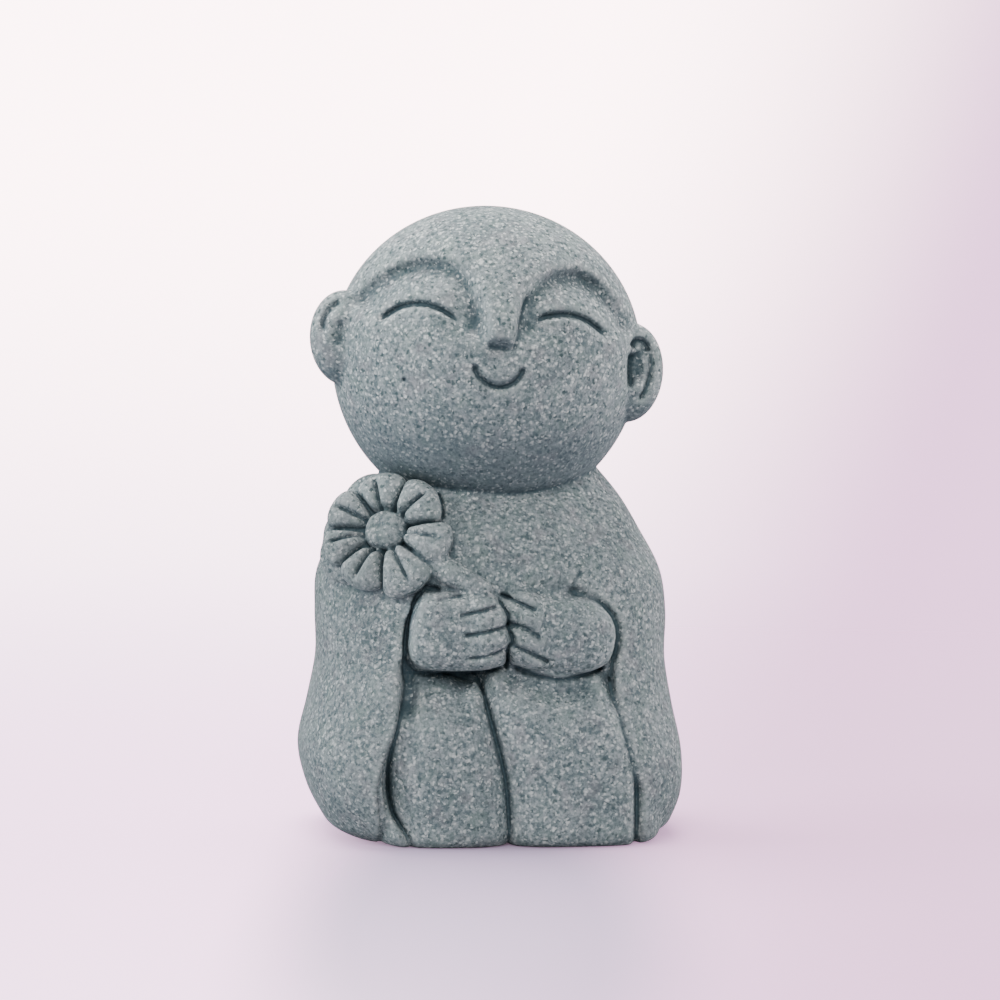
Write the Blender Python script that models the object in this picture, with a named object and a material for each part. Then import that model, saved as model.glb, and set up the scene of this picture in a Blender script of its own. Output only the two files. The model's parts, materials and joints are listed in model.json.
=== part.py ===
"""Small kneeling monk statuette with a flower, one cast lump on a flat underside.

The figure faces -Y and stands on z = 0, with its origin at the middle of the underside.
Sizes below are millimetres. MM turns them into metres where a mesh is made.
Left and right are as seen from the front, so left is towards -X.
The rough forms are laid into each other like clay, fused into one skin, carved with strokes
along named lines, thinned to large facets and cut off flat below.
"""

import math

import bmesh
import bpy
import numpy as np
from mathutils import Matrix, Vector

MM = 0.001

# Robe, from below the floor plane up into the head:
# height, reach to -X, reach to +X, reach to the front, reach to the back, squareness.
ROBE_LEVELS = (
    (-3.0, 13.6, 15.0, 13.6, 14.0, 3.0),
    (0.0, 15.6, 16.8, 15.4, 15.6, 3.1),
    (1.5, 16.8, 17.7, 16.2, 16.3, 3.2),
    (4.5, 18.2, 18.7, 17.1, 17.0, 3.3),
    (8.5, 19.0, 18.8, 17.2, 17.3, 3.2),
    (13.0, 18.1, 17.9, 16.4, 16.8, 3.0),
    (17.5, 17.3, 17.3, 15.4, 16.1, 2.8),
    (22.0, 17.4, 17.4, 14.6, 15.4, 2.6),
    (26.0, 17.1, 16.9, 13.6, 14.3, 2.35),
    (30.0, 15.2, 15.0, 12.0, 12.5, 2.1),
    (33.5, 12.7, 12.8, 10.0, 10.2, 2.0),
    (38.0, 9.0, 9.0, 7.0, 7.0, 2.0),
)
ROBE_RINGS = 44
RING_POINTS = 64

# Edges of the two sleeves beside the front opening, seen from the front as (x, z).
LEFT_SLEEVE_EDGE = (
    (-8.6, -3.0), (-9.4, 0.8), (-10.8, 2.9), (-11.4, 5.5), (-11.4, 8.5), (-9.7, 14.0), (-9.5, 19.0),
    (-8.3, 24.5), (-7.2, 25.6),
)
RIGHT_SLEEVE_EDGE = (
    (6.9, 24.5), (8.4, 24.3), (10.1, 23.1), (11.4, 20.4), (10.4, 15.2), (11.6, 10.7), (12.8, 5.6),
    (12.8, -3.0),
)
OPENING_TOP = ((-5.4, 23.6), (6.4, 23.6))
OPENING_BACK = -11.9
OPENING_FRONT = -30.0

# Knees, with their centres measured from the line that parts them: centre, half sizes.
KNEE_PARTING_LINE = ((-2.6, 17.4), (-2.0, 14.8), (-1.0, 10.9), (-0.1, 7.2), (0.3, 3.6), (0.5, -2.0))
KNEES = (
    ((-5.6, -7.6, 5.6), (7.6, 8.8, 14.0)),
    ((6.6, -7.6, 5.4), (8.9, 9.3, 14.0)),
)
KNEE_FULLNESS = 3.0

# Forearms and fists: centre, half sizes, tilt in degrees about the front-back axis, fullness.
HANDS = (
    ((-4.7, -11.8, 21.1), (4.95, 4.4, 4.0), 2.0, 3.2),
    ((-2.0, -12.6, 20.9), (3.2, 4.0, 3.9), 6.0, 2.5),
    ((6.1, -11.8, 20.4), (5.1, 4.3, 4.1), 8.0, 2.5),
    ((2.9, -12.5, 20.8), (3.3, 3.8, 3.7), 10.0, 2.6),
    ((2.4, -12.6, 22.4), (3.4, 3.2, 2.6), 8.0, 2.4),
)

# Head: middle, half width, half depth, half height above and below its widest ring.
HEAD_CENTRE = (-0.3, -0.5, 47.3)
HEAD_HALF_WIDTH = 15.4
HEAD_HALF_DEPTH = 14.6
HEAD_UP = 14.7
HEAD_DOWN = 16.0
HEAD_ROLL = 5.5
HEAD_YAW = -3.0
# In the head's own frame: centre, half sizes, tilt in degrees.
EARS = (
    ((-14.2, -3.0, 0.4), (3.6, 2.8, 4.8), -8.0),
    ((14.0, -3.0, -0.4), (3.5, 2.6, 5.0), 0.0),
)
NOSE_CENTRE = (0.4, -13.3, 3.5)
NOSE_HALF_SIZES = (1.8, 2.3, 2.6)

# Flower on the shoulder. Each petal has a start and a middle groove, in degrees, and a reach.
FLOWER_CENTRE = (-11.2, -9.6, 30.5)
FLOWER_FACING = (-0.42, -0.78, 0.42)
PETALS = (
    (-32, -8, 7.2), (11, 45, 6.3), (76, 109, 6.2), (134, 158, 6.7), (181, 197, 6.6), (223, 248, 6.4),
    (277, 304, 7.4),
)
PETAL_HALF_LENGTH = 2.8
PETAL_HALF_THICKNESS = 1.7
PETAL_SPREAD = 5.4
BUTTON_HALF_SIZES = (2.15, 1.6, 2.05)
FLOWER_BED_HALF_SIZES = (5.9, 2.0, 5.7)
# How far behind the open face the button, the petals and the bed under them have their middles.
BUTTON_SETBACK = -0.1
PETAL_SETBACK = 0.6
BED_SETBACK = 1.7
FLOWER_THICKNESS = 3.0
STEM_LINE = ((-7.6, -11.9, 28.2), (-5.2, -13.2, 26.6), (-2.2, -13.9, 24.9))
STEM_RADIUS = 1.2

# Carved strokes: the line, its half width and its depth.
# On the head they are in the head's own frame, seen from the front as (x, z).
HEAD_STROKES = (
    # brows
    (((-13.3, 4.3), (-10.6, 6.9), (-7.0, 8.3), (-3.8, 7.2), (-2.6, 4.4), (-1.7, 1.6)), 1.3, 0.8),
    (((12.9, 4.5), (9.8, 7.6), (6.5, 8.5), (3.9, 7.2), (2.7, 4.8), (2.3, 1.6)), 1.2, 0.8),
    # eyes
    (((-11.3, 2.3), (-9.1, 4.1), (-7.0, 4.5), (-3.6, 3.2)), 0.35, 0.5),
    (((3.4, 3.8), (6.0, 4.75), (8.2, 4.6), (10.9, 3.1)), 0.35, 0.5),
    # mouth
    (((-2.1, -0.5), (-1.5, -1.8), (0.6, -2.7), (2.3, -1.9), (3.0, -0.3)), 0.35, 0.55),
    # ears
    (((-14.7, 2.6), (-14.9, 1.0), (-14.8, -1.2)), 0.6, 0.6),
    (((14.3, 2.3), (14.7, 0.6), (14.4, -1.9)), 0.8, 1.1),
)
# On the body they are seen from the front as (x, z).
FRONT_STROKES = (
    (KNEE_PARTING_LINE, 0.45, 0.9),
    # below the hands
    (((-9.4, 16.1), (-4.5, 15.9), (-0.5, 16.3), (1.5, 16.1), (5.5, 15.1), (9.6, 16.0)), 1.0, 0.9),
    # inside the right elbow
    (((8.6, 27.0), (7.0, 25.2)), 0.35, 0.4),
    # between the hands
    (((-0.8, 24.5), (0.1, 22.0), (0.6, 20.2), (0.2, 17.2)), 0.3, 0.6),
    # fingers on the left
    (((-4.9, 22.6), (-0.6, 23.6)), 0.3, 0.45),
    (((-4.4, 20.7), (0.3, 21.7)), 0.3, 0.45),
    (((-4.0, 18.5), (0.1, 19.6)), 0.3, 0.45),
    # fingers on the right
    (((-0.7, 24.7), (2.7, 23.2)), 0.3, 0.5),
    (((-0.2, 21.8), (3.4, 20.3)), 0.35, 0.5),
    (((0.4, 19.8), (4.4, 17.9)), 0.35, 0.5),
)
SLEEVE_STROKE = (0.3, 0.4)
# On the flower they run out from its button, as distances from its middle.
PETAL_STROKE_REACH = (2.4, 5.2)
PETAL_STROKE = (0.3, 0.45)
FRONT_ONLY = 0.15

SKIN_VOXEL = 0.3
SKIN_SMOOTHING = 4
FACETS_KEPT = 8200
FLOOR_BLOCK = 60.0
EDGE_ROUNDING = 1.2

STONE_COLOUR = (0.27, 0.32, 0.32, 1.0)
STONE_ROUGHNESS = 0.85


def clear_scene():
    for obj in list(bpy.data.objects):
        bpy.data.objects.remove(obj)


def turn_about(axis, degrees):
    return Matrix.Rotation(math.radians(degrees), 4, axis)


def smooth_through(table, height):
    """The row of the table at this height, on a smooth curve through all its rows."""
    rows = np.array(table)
    last = len(rows) - 2
    start = int(np.clip(np.searchsorted(rows[:, 0], height) - 1, 0, last))
    before, here, there, after = (
        rows[max(start - 1, 0)], rows[start], rows[start + 1], rows[min(start + 2, last + 1)]
    )
    share = (height - here[0]) / (there[0] - here[0])
    leaving = (there - before) * (there[0] - here[0]) / (there[0] - before[0])
    arriving = (after - here) * (there[0] - here[0]) / (after[0] - here[0])
    return (
        here * (1 - 3 * share**2 + 2 * share**3)
        + there * (3 * share**2 - 2 * share**3)
        + leaving * (share - 2 * share**2 + share**3)
        + arriving * (share**3 - share**2)
    )


def loft(rings):
    """A closed skin through rings of points, with a face over each end."""
    shape = bmesh.new()
    loops = [[shape.verts.new(point) for point in ring] for ring in rings]
    for low, high in zip(loops, loops[1:]):
        for i in range(len(low)):
            j = (i + 1) % len(low)
            shape.faces.new((low[i], low[j], high[j], high[i]))
    shape.faces.new(reversed(loops[0]))
    shape.faces.new(loops[-1])
    return shape


def robe_ring(height):
    _, to_left, to_right, to_front, to_back, squareness = smooth_through(ROBE_LEVELS, height)
    points = []
    for i in range(RING_POINTS):
        angle = 2 * math.pi * i / RING_POINTS
        across = math.copysign(abs(math.cos(angle)) ** (2 / squareness), math.cos(angle))
        along = math.copysign(abs(math.sin(angle)) ** (2 / squareness), math.sin(angle))
        points.append((
            across * (to_right if across > 0 else to_left),
            along * (to_back if along > 0 else to_front),
            height,
        ))
    return points


def robe():
    heights = np.linspace(ROBE_LEVELS[0][0], ROBE_LEVELS[-1][0], ROBE_RINGS)
    return loft([robe_ring(height) for height in heights])


def smooth_line(corners, count=24):
    """Points along a smooth curve through these corners."""
    steps = np.arange(len(corners), dtype=float)
    table = np.column_stack([steps, np.array(corners)])
    return np.array([smooth_through(table, step)[1:] for step in np.linspace(0, steps[-1], count)])


def opening():
    edge = (*smooth_line(LEFT_SLEEVE_EDGE), *OPENING_TOP, *smooth_line(RIGHT_SLEEVE_EDGE))
    front = [(x, OPENING_FRONT, z) for x, z in edge]
    back = [(x, OPENING_BACK, z) for x, z in edge]
    shape = loft([back, front])
    bmesh.ops.recalc_face_normals(shape, faces=shape.faces)
    return shape


def lump(centre, half_sizes, placing=Matrix.Identity(4), turn=Matrix.Identity(4), fullness=2.0):
    """An egg of these half sizes, turned about its own centre, in the frame that placing gives.

    A fullness of 2 is a true egg. More than 2 fills its corners out.
    """
    shape = bmesh.new()
    bmesh.ops.create_uvsphere(shape, u_segments=40, v_segments=24, radius=1.0)
    for vert in shape.verts:
        vert.co /= sum(abs(side) ** fullness for side in vert.co) ** (1 / fullness)
    sizes = Matrix.Diagonal((*half_sizes, 1.0))
    bmesh.ops.transform(
        shape, verts=shape.verts, matrix=placing @ Matrix.Translation(centre) @ turn @ sizes
    )
    return shape


def knee(centre, half_sizes):
    """A full lobe, pushed sideways at each height so that it follows the line between the knees."""
    shape = lump(centre, half_sizes, fullness=KNEE_FULLNESS)
    heights_first = [(z, x) for x, z in reversed(KNEE_PARTING_LINE)]
    lowest, highest = heights_first[0][0], heights_first[-1][0]
    for vert in shape.verts:
        height = min(max(vert.co.z, lowest), highest)
        vert.co.x += smooth_through(heights_first, height)[1]
    return shape


def head_frame():
    return (
        Matrix.Translation(HEAD_CENTRE) @ turn_about("Z", HEAD_YAW) @ turn_about("Y", HEAD_ROLL)
    )


def head():
    shape = bmesh.new()
    bmesh.ops.create_uvsphere(shape, u_segments=64, v_segments=40, radius=1.0)
    for vert in shape.verts:
        vert.co.x *= HEAD_HALF_WIDTH
        vert.co.y *= HEAD_HALF_DEPTH
        vert.co.z *= HEAD_UP if vert.co.z > 0 else HEAD_DOWN
    bmesh.ops.transform(shape, verts=shape.verts, matrix=head_frame())
    return shape


def flower_frame():
    """Flower's own frame: -Y is its open face, +Z is up its face."""
    facing = Vector(FLOWER_FACING).normalized()
    across = Vector((0, 0, 1)).cross(facing).normalized()
    upward = facing.cross(across)
    turn = Matrix((across, -facing, upward)).transposed().to_4x4()
    return Matrix.Translation(FLOWER_CENTRE) @ turn


def flower():
    frame = flower_frame()
    shapes = [
        lump((0, BUTTON_SETBACK, 0), BUTTON_HALF_SIZES, frame),
        lump((0, BED_SETBACK, 0), FLOWER_BED_HALF_SIZES, frame),
    ]
    for (start, _, reach), (end, _, _) in zip(PETALS, PETALS[1:] + PETALS[:1]):
        half_width = (end - start) % 360 / 2
        spoke = frame @ turn_about("Y", -(start + half_width))
        half_across = PETAL_SPREAD * math.sin(math.radians(half_width))
        sizes = (PETAL_HALF_LENGTH, PETAL_HALF_THICKNESS, half_across)
        shapes.append(lump((reach - PETAL_HALF_LENGTH, PETAL_SETBACK, 0), sizes, spoke))
    return shapes


def stem():
    """A round stalk as a bevelled curve, turned into a mesh."""
    line = bpy.data.curves.new("stem_line", "CURVE")
    line.dimensions = "3D"
    line.bevel_depth = STEM_RADIUS
    line.bevel_resolution = 3
    line.use_fill_caps = True
    spline = line.splines.new("NURBS")
    spline.points.add(len(STEM_LINE) - 1)
    for point, place in zip(spline.points, STEM_LINE):
        point.co = (*place, 1.0)
    spline.order_u = 3
    spline.use_endpoint_u = True
    guide = bpy.data.objects.new("stem_guide", line)
    bpy.context.scene.collection.objects.link(guide)
    bpy.context.view_layer.update()
    made = guide.evaluated_get(bpy.context.evaluated_depsgraph_get()).to_mesh()
    shape = bmesh.new()
    shape.from_mesh(made)
    bpy.data.objects.remove(guide)
    bmesh.ops.remove_doubles(shape, verts=shape.verts, dist=0.001)
    bmesh.ops.recalc_face_normals(shape, faces=shape.faces)
    return shape


def linked(name, shape):
    """A new object in the scene holding this shape, scaled from millimetres to metres."""
    bmesh.ops.scale(shape, verts=shape.verts, vec=(MM, MM, MM))
    mesh = bpy.data.meshes.new(name)
    shape.to_mesh(mesh)
    shape.free()
    obj = bpy.data.objects.new(name, mesh)
    bpy.context.scene.collection.objects.link(obj)
    return obj


def helper(obj):
    obj.hide_render = True
    obj.display_type = "WIRE"
    return obj


def evaluated_mesh(obj):
    bpy.context.view_layer.update()
    graph = bpy.context.evaluated_depsgraph_get()
    return bpy.data.meshes.new_from_object(obj.evaluated_get(graph))


def add_difference(obj, name, cutter):
    cut = obj.modifiers.new(name, "BOOLEAN")
    cut.operation = "DIFFERENCE"
    cut.solver = "EXACT"
    cut.object = cutter
    return cut


def joined(shapes):
    whole = bmesh.new()
    for shape in shapes:
        scratch = bpy.data.meshes.new("scratch")
        shape.to_mesh(scratch)
        shape.free()
        whole.from_mesh(scratch)
        bpy.data.meshes.remove(scratch)
    return whole


def opened_robe():
    """The robe with the opening between its sleeves cut out, in millimetres."""
    body = linked("robe_block", robe())
    cutter = helper(linked("opening_cutter", opening()))
    add_difference(body, "opening", cutter)
    shape = bmesh.new()
    shape.from_mesh(evaluated_mesh(body))
    bmesh.ops.scale(shape, verts=shape.verts, vec=(1 / MM, 1 / MM, 1 / MM))
    bpy.data.objects.remove(body)
    bpy.data.objects.remove(cutter)
    return shape


def rough_forms():
    frame = head_frame()
    shapes = [opened_robe(), head(), stem(), lump(NOSE_CENTRE, NOSE_HALF_SIZES, frame)]
    for centre, half_sizes, tilt in EARS:
        shapes.append(lump(centre, half_sizes, frame, turn_about("Y", tilt)))
    for centre, half_sizes in KNEES:
        shapes.append(knee(centre, half_sizes))
    for centre, half_sizes, tilt, fullness in HANDS:
        shapes.append(lump(centre, half_sizes, turn=turn_about("Y", tilt), fullness=fullness))
    return shapes + flower()


def fused(shapes):
    """One even skin round all the forms, with the creases between them a little softened."""
    obj = linked("monk_figure", joined(shapes))
    skin = obj.modifiers.new("fuse", "REMESH")
    skin.mode = "VOXEL"
    skin.voxel_size = SKIN_VOXEL * MM
    soften = obj.modifiers.new("soften", "SMOOTH")
    soften.factor = 0.5
    soften.iterations = SKIN_SMOOTHING
    obj.data = evaluated_mesh(obj)
    obj.modifiers.clear()
    return obj


def distance_to_line(points, line):
    """How far each flat point lies from a line of flat points."""
    nearest = np.full(len(points), np.inf)
    for start, end in zip(line, line[1:]):
        along = end - start
        share = np.clip((points - start) @ along / (along @ along), 0, 1)
        gap = points - start - share[:, None] * along
        nearest = np.minimum(nearest, np.hypot(gap[:, 0], gap[:, 1]))
    return nearest


class Carver:
    """Presses soft strokes into the front of a skin, along lines seen from the front of a frame."""

    def __init__(self, obj):
        self.mesh = obj.data
        count = len(self.mesh.vertices)
        flat = np.empty(count * 3, np.float32)
        self.mesh.vertices.foreach_get("co", flat)
        self.points = flat.reshape(count, 3).astype(float) / MM
        self.mesh.vertex_normals.foreach_get("vector", flat)
        self.normals = flat.reshape(count, 3).astype(float)
        self.sunk = np.zeros(count)

    def press(self, corners, half_width, depth, frame=Matrix.Identity(4)):
        inward = np.array(frame.inverted())
        local = self.points @ inward[:3, :3].T + inward[:3, 3]
        facing = -(self.normals @ inward[:3, :3].T)[:, 1]
        line = smooth_line(corners) if len(corners) > 2 else np.array(corners)
        gap = distance_to_line(local[:, [0, 2]], line)
        shows = (facing > FRONT_ONLY) & (local[:, 1] < 0)
        self.sunk = np.maximum(self.sunk, depth * np.exp(-((gap / half_width) ** 2)) * shows)

    def finish(self):
        moved = (self.points - self.sunk[:, None] * self.normals) * MM
        self.mesh.vertices.foreach_set("co", moved.astype(np.float32).ravel())
        self.mesh.update()


def round_underside(obj):
    """Draws the skin in near the floor plane, so that the foot of the robe has a round edge."""
    for vert in obj.data.vertices:
        short = EDGE_ROUNDING - max(vert.co.z / MM, 0.0)
        if short > 0:
            outward = Vector((vert.co.x, vert.co.y, 0)).normalized()
            inset = EDGE_ROUNDING - math.sqrt(EDGE_ROUNDING**2 - short**2)
            vert.co -= outward * inset * MM


def carve(obj):
    carver = Carver(obj)
    for line, half_width, depth in HEAD_STROKES:
        carver.press(line, half_width, depth, head_frame())
    for line, half_width, depth in FRONT_STROKES:
        carver.press(line, half_width, depth)
    for line in (LEFT_SLEEVE_EDGE, RIGHT_SLEEVE_EDGE):
        carver.press(line, *SLEEVE_STROKE)
    near, far = PETAL_STROKE_REACH
    flower_back = flower_frame() @ Matrix.Translation((0, FLOWER_THICKNESS, 0))
    for _, middle, _ in PETALS:
        spoke = flower_back @ turn_about("Y", -middle)
        carver.press(((near, 0.0), (far, 0.0)), *PETAL_STROKE, spoke)
    carver.finish()


def thin_out(obj):
    """Large facets where the skin is plain, small ones in the carving, then a flat underside."""
    thin = obj.modifiers.new("thin_out", "DECIMATE")
    thin.ratio = FACETS_KEPT / (2 * len(obj.data.polygons))
    block = bmesh.new()
    bmesh.ops.create_cube(block, size=FLOOR_BLOCK)
    bmesh.ops.translate(block, verts=block.verts, vec=(0, 0, -FLOOR_BLOCK / 2))
    add_difference(obj, "flat_underside", helper(linked("floor_block", block)))


def stone():
    material = bpy.data.materials.new("stone")
    material.use_nodes = True
    shader = material.node_tree.nodes["Principled BSDF"]
    shader.inputs["Base Color"].default_value = STONE_COLOUR
    shader.inputs["Roughness"].default_value = STONE_ROUGHNESS
    shader.inputs["Metallic"].default_value = 0.0
    material.diffuse_color = STONE_COLOUR
    return material


def build():
    clear_scene()
    figure = fused(rough_forms())
    carve(figure)
    round_underside(figure)
    figure.data.shade_smooth()
    figure.data.materials.append(stone())
    thin_out(figure)


build()
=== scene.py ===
# %% [markdown]
# # A little kneeling monk in stone-look casting
#
# The object is one solid casting, as tall as a thumb. A smiling monk kneels, holds a flower
# against one shoulder and leans the head a little to the side. Left and right are meant as
# seen from the front, where the left is towards -X.
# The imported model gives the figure's true outline and size. This lesson makes its fine skin
# and its finish, and the finished piece takes the plain solid's place.

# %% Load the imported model
import json
import math

import bpy
import numpy as np
from mathutils import Matrix, Vector

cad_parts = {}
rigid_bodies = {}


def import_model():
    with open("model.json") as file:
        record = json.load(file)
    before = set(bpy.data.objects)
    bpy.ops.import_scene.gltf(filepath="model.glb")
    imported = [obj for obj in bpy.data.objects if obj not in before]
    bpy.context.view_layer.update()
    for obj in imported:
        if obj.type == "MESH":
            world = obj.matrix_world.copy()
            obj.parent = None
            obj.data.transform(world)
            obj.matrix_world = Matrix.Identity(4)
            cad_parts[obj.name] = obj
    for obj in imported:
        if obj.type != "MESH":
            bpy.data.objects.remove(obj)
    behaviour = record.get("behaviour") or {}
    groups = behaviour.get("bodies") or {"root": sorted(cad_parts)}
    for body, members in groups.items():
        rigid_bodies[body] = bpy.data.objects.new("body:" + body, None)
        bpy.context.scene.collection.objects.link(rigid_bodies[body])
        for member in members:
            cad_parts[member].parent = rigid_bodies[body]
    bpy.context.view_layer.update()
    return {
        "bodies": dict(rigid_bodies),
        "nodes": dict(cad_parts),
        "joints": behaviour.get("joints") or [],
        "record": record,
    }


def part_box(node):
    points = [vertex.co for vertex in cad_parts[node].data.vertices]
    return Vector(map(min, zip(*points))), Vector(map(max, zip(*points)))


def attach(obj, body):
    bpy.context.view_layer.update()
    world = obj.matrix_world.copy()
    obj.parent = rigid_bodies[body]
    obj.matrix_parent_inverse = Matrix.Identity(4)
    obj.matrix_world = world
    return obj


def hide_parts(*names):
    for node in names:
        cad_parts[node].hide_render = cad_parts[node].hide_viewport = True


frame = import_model()
foot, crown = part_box("monk_figure")
HEIGHT_IN_UNITS = 62.0
UNIT = (crown.z - foot.z) / HEIGHT_IN_UNITS
print("packed figure:", [round(side, 4) for side in crown - foot], "m, one working unit:", UNIT)

# %% [markdown]
# ## Why a block of clay
#
# A figure like this is first modelled in clay: lumps are pressed on, melted into each other
# with a thumb, and cut with a loop and a knife. Boxes and spheres joined by Booleans would keep
# hard seams, and a subdivision cage would need its edges laid along each finger and petal.
# So the clay is a grid that stores, at every point, the distance to the surface, less than zero
# inside. Melting two lumps is then a soft minimum of two numbers, and a knife stroke
# adds a little to the distances near its line.
# One working unit is a sixty-second of the figure's height, which is about a millimetre.

GRAIN = 0.17
BLOCK_LOW = (-20.0, -19.0, -1.0)
BLOCK_HIGH = (20.0, 19.0, 63.4)
# the distance that empty air starts with
FAR = 6.0
# how far past its own box a form is still worked out
REACH_PAST = 1
STAND = np.eye(4)


def melt(first, second, blend):
    """The union of two distances, with a fillet of this size where they meet."""
    share = np.clip(blend - np.abs(first - second), 0, None) / blend
    return np.minimum(first, second) - share * share * blend / 4


class Clay:
    """A block of signed distances that forms are added to, cut from and pressed into."""

    def __init__(self):
        counts = [round((b - a) / GRAIN) + 1 for a, b in zip(BLOCK_LOW, BLOCK_HIGH)]
        self.solid = np.full(counts, FAR, np.float32)
        print("clay block:", counts, "points,", GRAIN, "apart")

    def window(self, low, high, frame, margin):
        """The part of the block that holds a box of this frame, and its points in that frame."""
        corners = np.array([[low[i], high[i]] for i in range(3)])
        corners = np.array(np.meshgrid(*corners)).reshape(3, -1)
        placed = frame[:3, :3] @ corners + frame[:3, 3:]
        first = (placed.min(1) - margin - BLOCK_LOW) / GRAIN
        last = (placed.max(1) + margin - BLOCK_LOW) / GRAIN
        first = np.clip(np.floor(first).astype(int), 0, None)
        last = np.minimum(np.ceil(last).astype(int) + 1, self.solid.shape)
        spans = tuple(slice(a, b) for a, b in zip(first, last))
        axes = [BLOCK_LOW[i] + GRAIN * np.arange(first[i], last[i]) for i in range(3)]
        points = np.meshgrid(*[a.astype(np.float32) for a in axes], indexing="ij", sparse=True)
        if frame is STAND:
            return spans, points
        inward = np.linalg.inv(frame).astype(np.float32)
        return spans, [sum(inward[i, j] * points[j] for j in range(3)) + inward[i, 3] for i in range(3)]

    def add(self, form, blend, frame=STAND):
        """Melts a form onto the clay."""
        distance, low, high = form
        spans, points = self.window(low, high, frame, blend + REACH_PAST)
        self.solid[spans] = melt(self.solid[spans], distance(*points), blend)

    def cut(self, form, blend, frame=STAND):
        """Takes a form out of the clay."""
        distance, low, high = form
        spans, points = self.window(low, high, frame, blend + REACH_PAST)
        self.solid[spans] = -melt(-self.solid[spans], distance(*points), blend)

    def press(self, stroke, frame=STAND):
        """Pushes the surface in by a stroke's depth, or raises it where the depth is negative."""
        depth, low, high = stroke
        spans, points = self.window(low, high, frame, 0)
        self.solid[spans] += depth(*points)

    def report(self, stage):
        """Prints how many points of the grid are inside the clay."""
        print(stage, int((self.solid < 0).sum()), "points")


clay = Clay()

# %% [markdown]
# ## Forms
#
# Two kinds of lump do most of the work: an egg, whose corners can be filled out, and a roll
# that tapers along a line. Each returns its distance and the box that holds it. Outlines come
# as a few corners with a smooth curve through them, because a hand draws curves that way.
# The robe, the opening, the skull, the nose and the petals have functions of their own later.

# %% Egg, roll and smooth line
# the fillet where two stretches of a roll meet
BEND_BLEND = 0.3
# so small that they change nothing, except that the middle of an egg divides by no zero
LEAST_SIZE, LEAST_SLOPE = 1e-6, 1e-9


def egg(centre, half_sizes, fullness=2.0):
    """A lump with these half sizes. A fullness over 2 fills its corners out."""

    def distance(x, y, z):
        scaled = [
            np.abs(axis - middle) / size for axis, middle, size in zip((x, y, z), centre, half_sizes)
        ]
        size = sum(side**fullness for side in scaled) ** (1 / fullness) + LEAST_SIZE
        steepness = sum((side ** (fullness - 1) / half) ** 2 for side, half in zip(scaled, half_sizes))
        return (size - 1) * size ** (fullness - 1) / np.sqrt(steepness + LEAST_SLOPE)

    centre_point = np.array(centre)
    return distance, centre_point - half_sizes, centre_point + half_sizes


def roll(points, radii):
    """A tapering roll through these points."""
    points = np.array(points, float)

    def distance(x, y, z):
        nearest = None
        for start, end, near_radius, far_radius in zip(points, points[1:], radii, radii[1:]):
            along = end - start
            offset = [axis - place for axis, place in zip((x, y, z), start)]
            share = sum(gap * step for gap, step in zip(offset, along)) / (along @ along)
            share = np.clip(share, 0, 1)
            gap = np.sqrt(sum((side - share * step) ** 2 for side, step in zip(offset, along)))
            gap = gap - (near_radius + share * (far_radius - near_radius))
            nearest = gap if nearest is None else melt(nearest, gap, BEND_BLEND)
        return nearest

    widest = max(radii)
    return distance, points.min(0) - widest, points.max(0) + widest


def smooth_rows(rows, at):
    """Rows of numbers on a smooth curve through the given rows. The first column is the place."""
    rows = np.array(rows, float)
    at = np.clip(np.asarray(at, float), rows[0, 0], rows[-1, 0])
    start = np.clip(np.searchsorted(rows[:, 0], at) - 1, 0, len(rows) - 2)
    here, there = rows[start], rows[start + 1]
    before, after = rows[np.maximum(start - 1, 0)], rows[np.minimum(start + 2, len(rows) - 1)]
    width = there[..., :1] - here[..., :1]
    share = (at[..., None] - here[..., :1]) / width
    leaving = (there - before) * width / (there[..., :1] - before[..., :1])
    arriving = (after - here) * width / (after[..., :1] - here[..., :1])
    return (
        here * (1 - 3 * share**2 + 2 * share**3)
        + there * (3 * share**2 - 2 * share**3)
        + leaving * (share - 2 * share**2 + share**3)
        + arriving * (share**3 - share**2)
    )


def smooth_line(corners, count=16):
    """Flat points along a smooth curve through a few corners."""
    if len(corners) < 3:
        return np.array(corners, float)
    rows = [(step, *corner) for step, corner in enumerate(corners)]
    return smooth_rows(rows, np.linspace(0, len(corners) - 1, count))[:, 1:]


# %% [markdown]
# Eyes, fingers and folds are drawn with a knife, straight at the front of the figure. So a
# stroke is a flat line, drawn as if on paper before the figure, and it is pressed into whatever
# lies behind it between two depths. Cutting each one with a thin solid would leave sharp walls,
# while a bell curve across the line gives the soft lips of a cast groove.

# %% Strokes of the modelling knife
# how many half widths from its line a stroke still counts
STROKE_REACH = 2.5
FRONTMOST = BLOCK_LOW[1]


def measure_line(x, z, line):
    """For points seen from the front: gap to the line, its signed side, and the share along it."""
    nearest = side = share_there = None
    lengths = np.hypot(*np.diff(line, axis=0).T)
    passed = np.concatenate([[0], np.cumsum(lengths)]) / lengths.sum()
    for i, (start, end) in enumerate(zip(line, line[1:])):
        run, rise = end - start
        share = np.clip(((x - start[0]) * run + (z - start[1]) * rise) / (run * run + rise * rise), 0, 1)
        across, up = x - start[0] - share * run, z - start[1] - share * rise
        gap = np.hypot(across, up)
        turn = np.where(run * up - rise * across < 0, gap, -gap)
        place = passed[i] + share * (passed[i + 1] - passed[i])
        if nearest is None:
            nearest, side, share_there = gap, turn, place
            continue
        closer = gap < nearest
        nearest = np.where(closer, gap, nearest)
        side = np.where(closer, turn, side)
        share_there = np.where(closer, place, share_there)
    return nearest, side, share_there


def ease(low, high, value):
    """0 below low, 1 above high, and smooth between."""
    share = np.clip((value - low) / (high - low), 0, 1)
    return share * share * (3 - 2 * share)


def box_round(line, y_range, margin):
    """The box between two y values that holds a flat line with room round it."""
    low = (line[:, 0].min() - margin, y_range[0], line[:, 1].min() - margin)
    high = (line[:, 0].max() + margin, y_range[1], line[:, 1].max() + margin)
    return low, high


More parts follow.
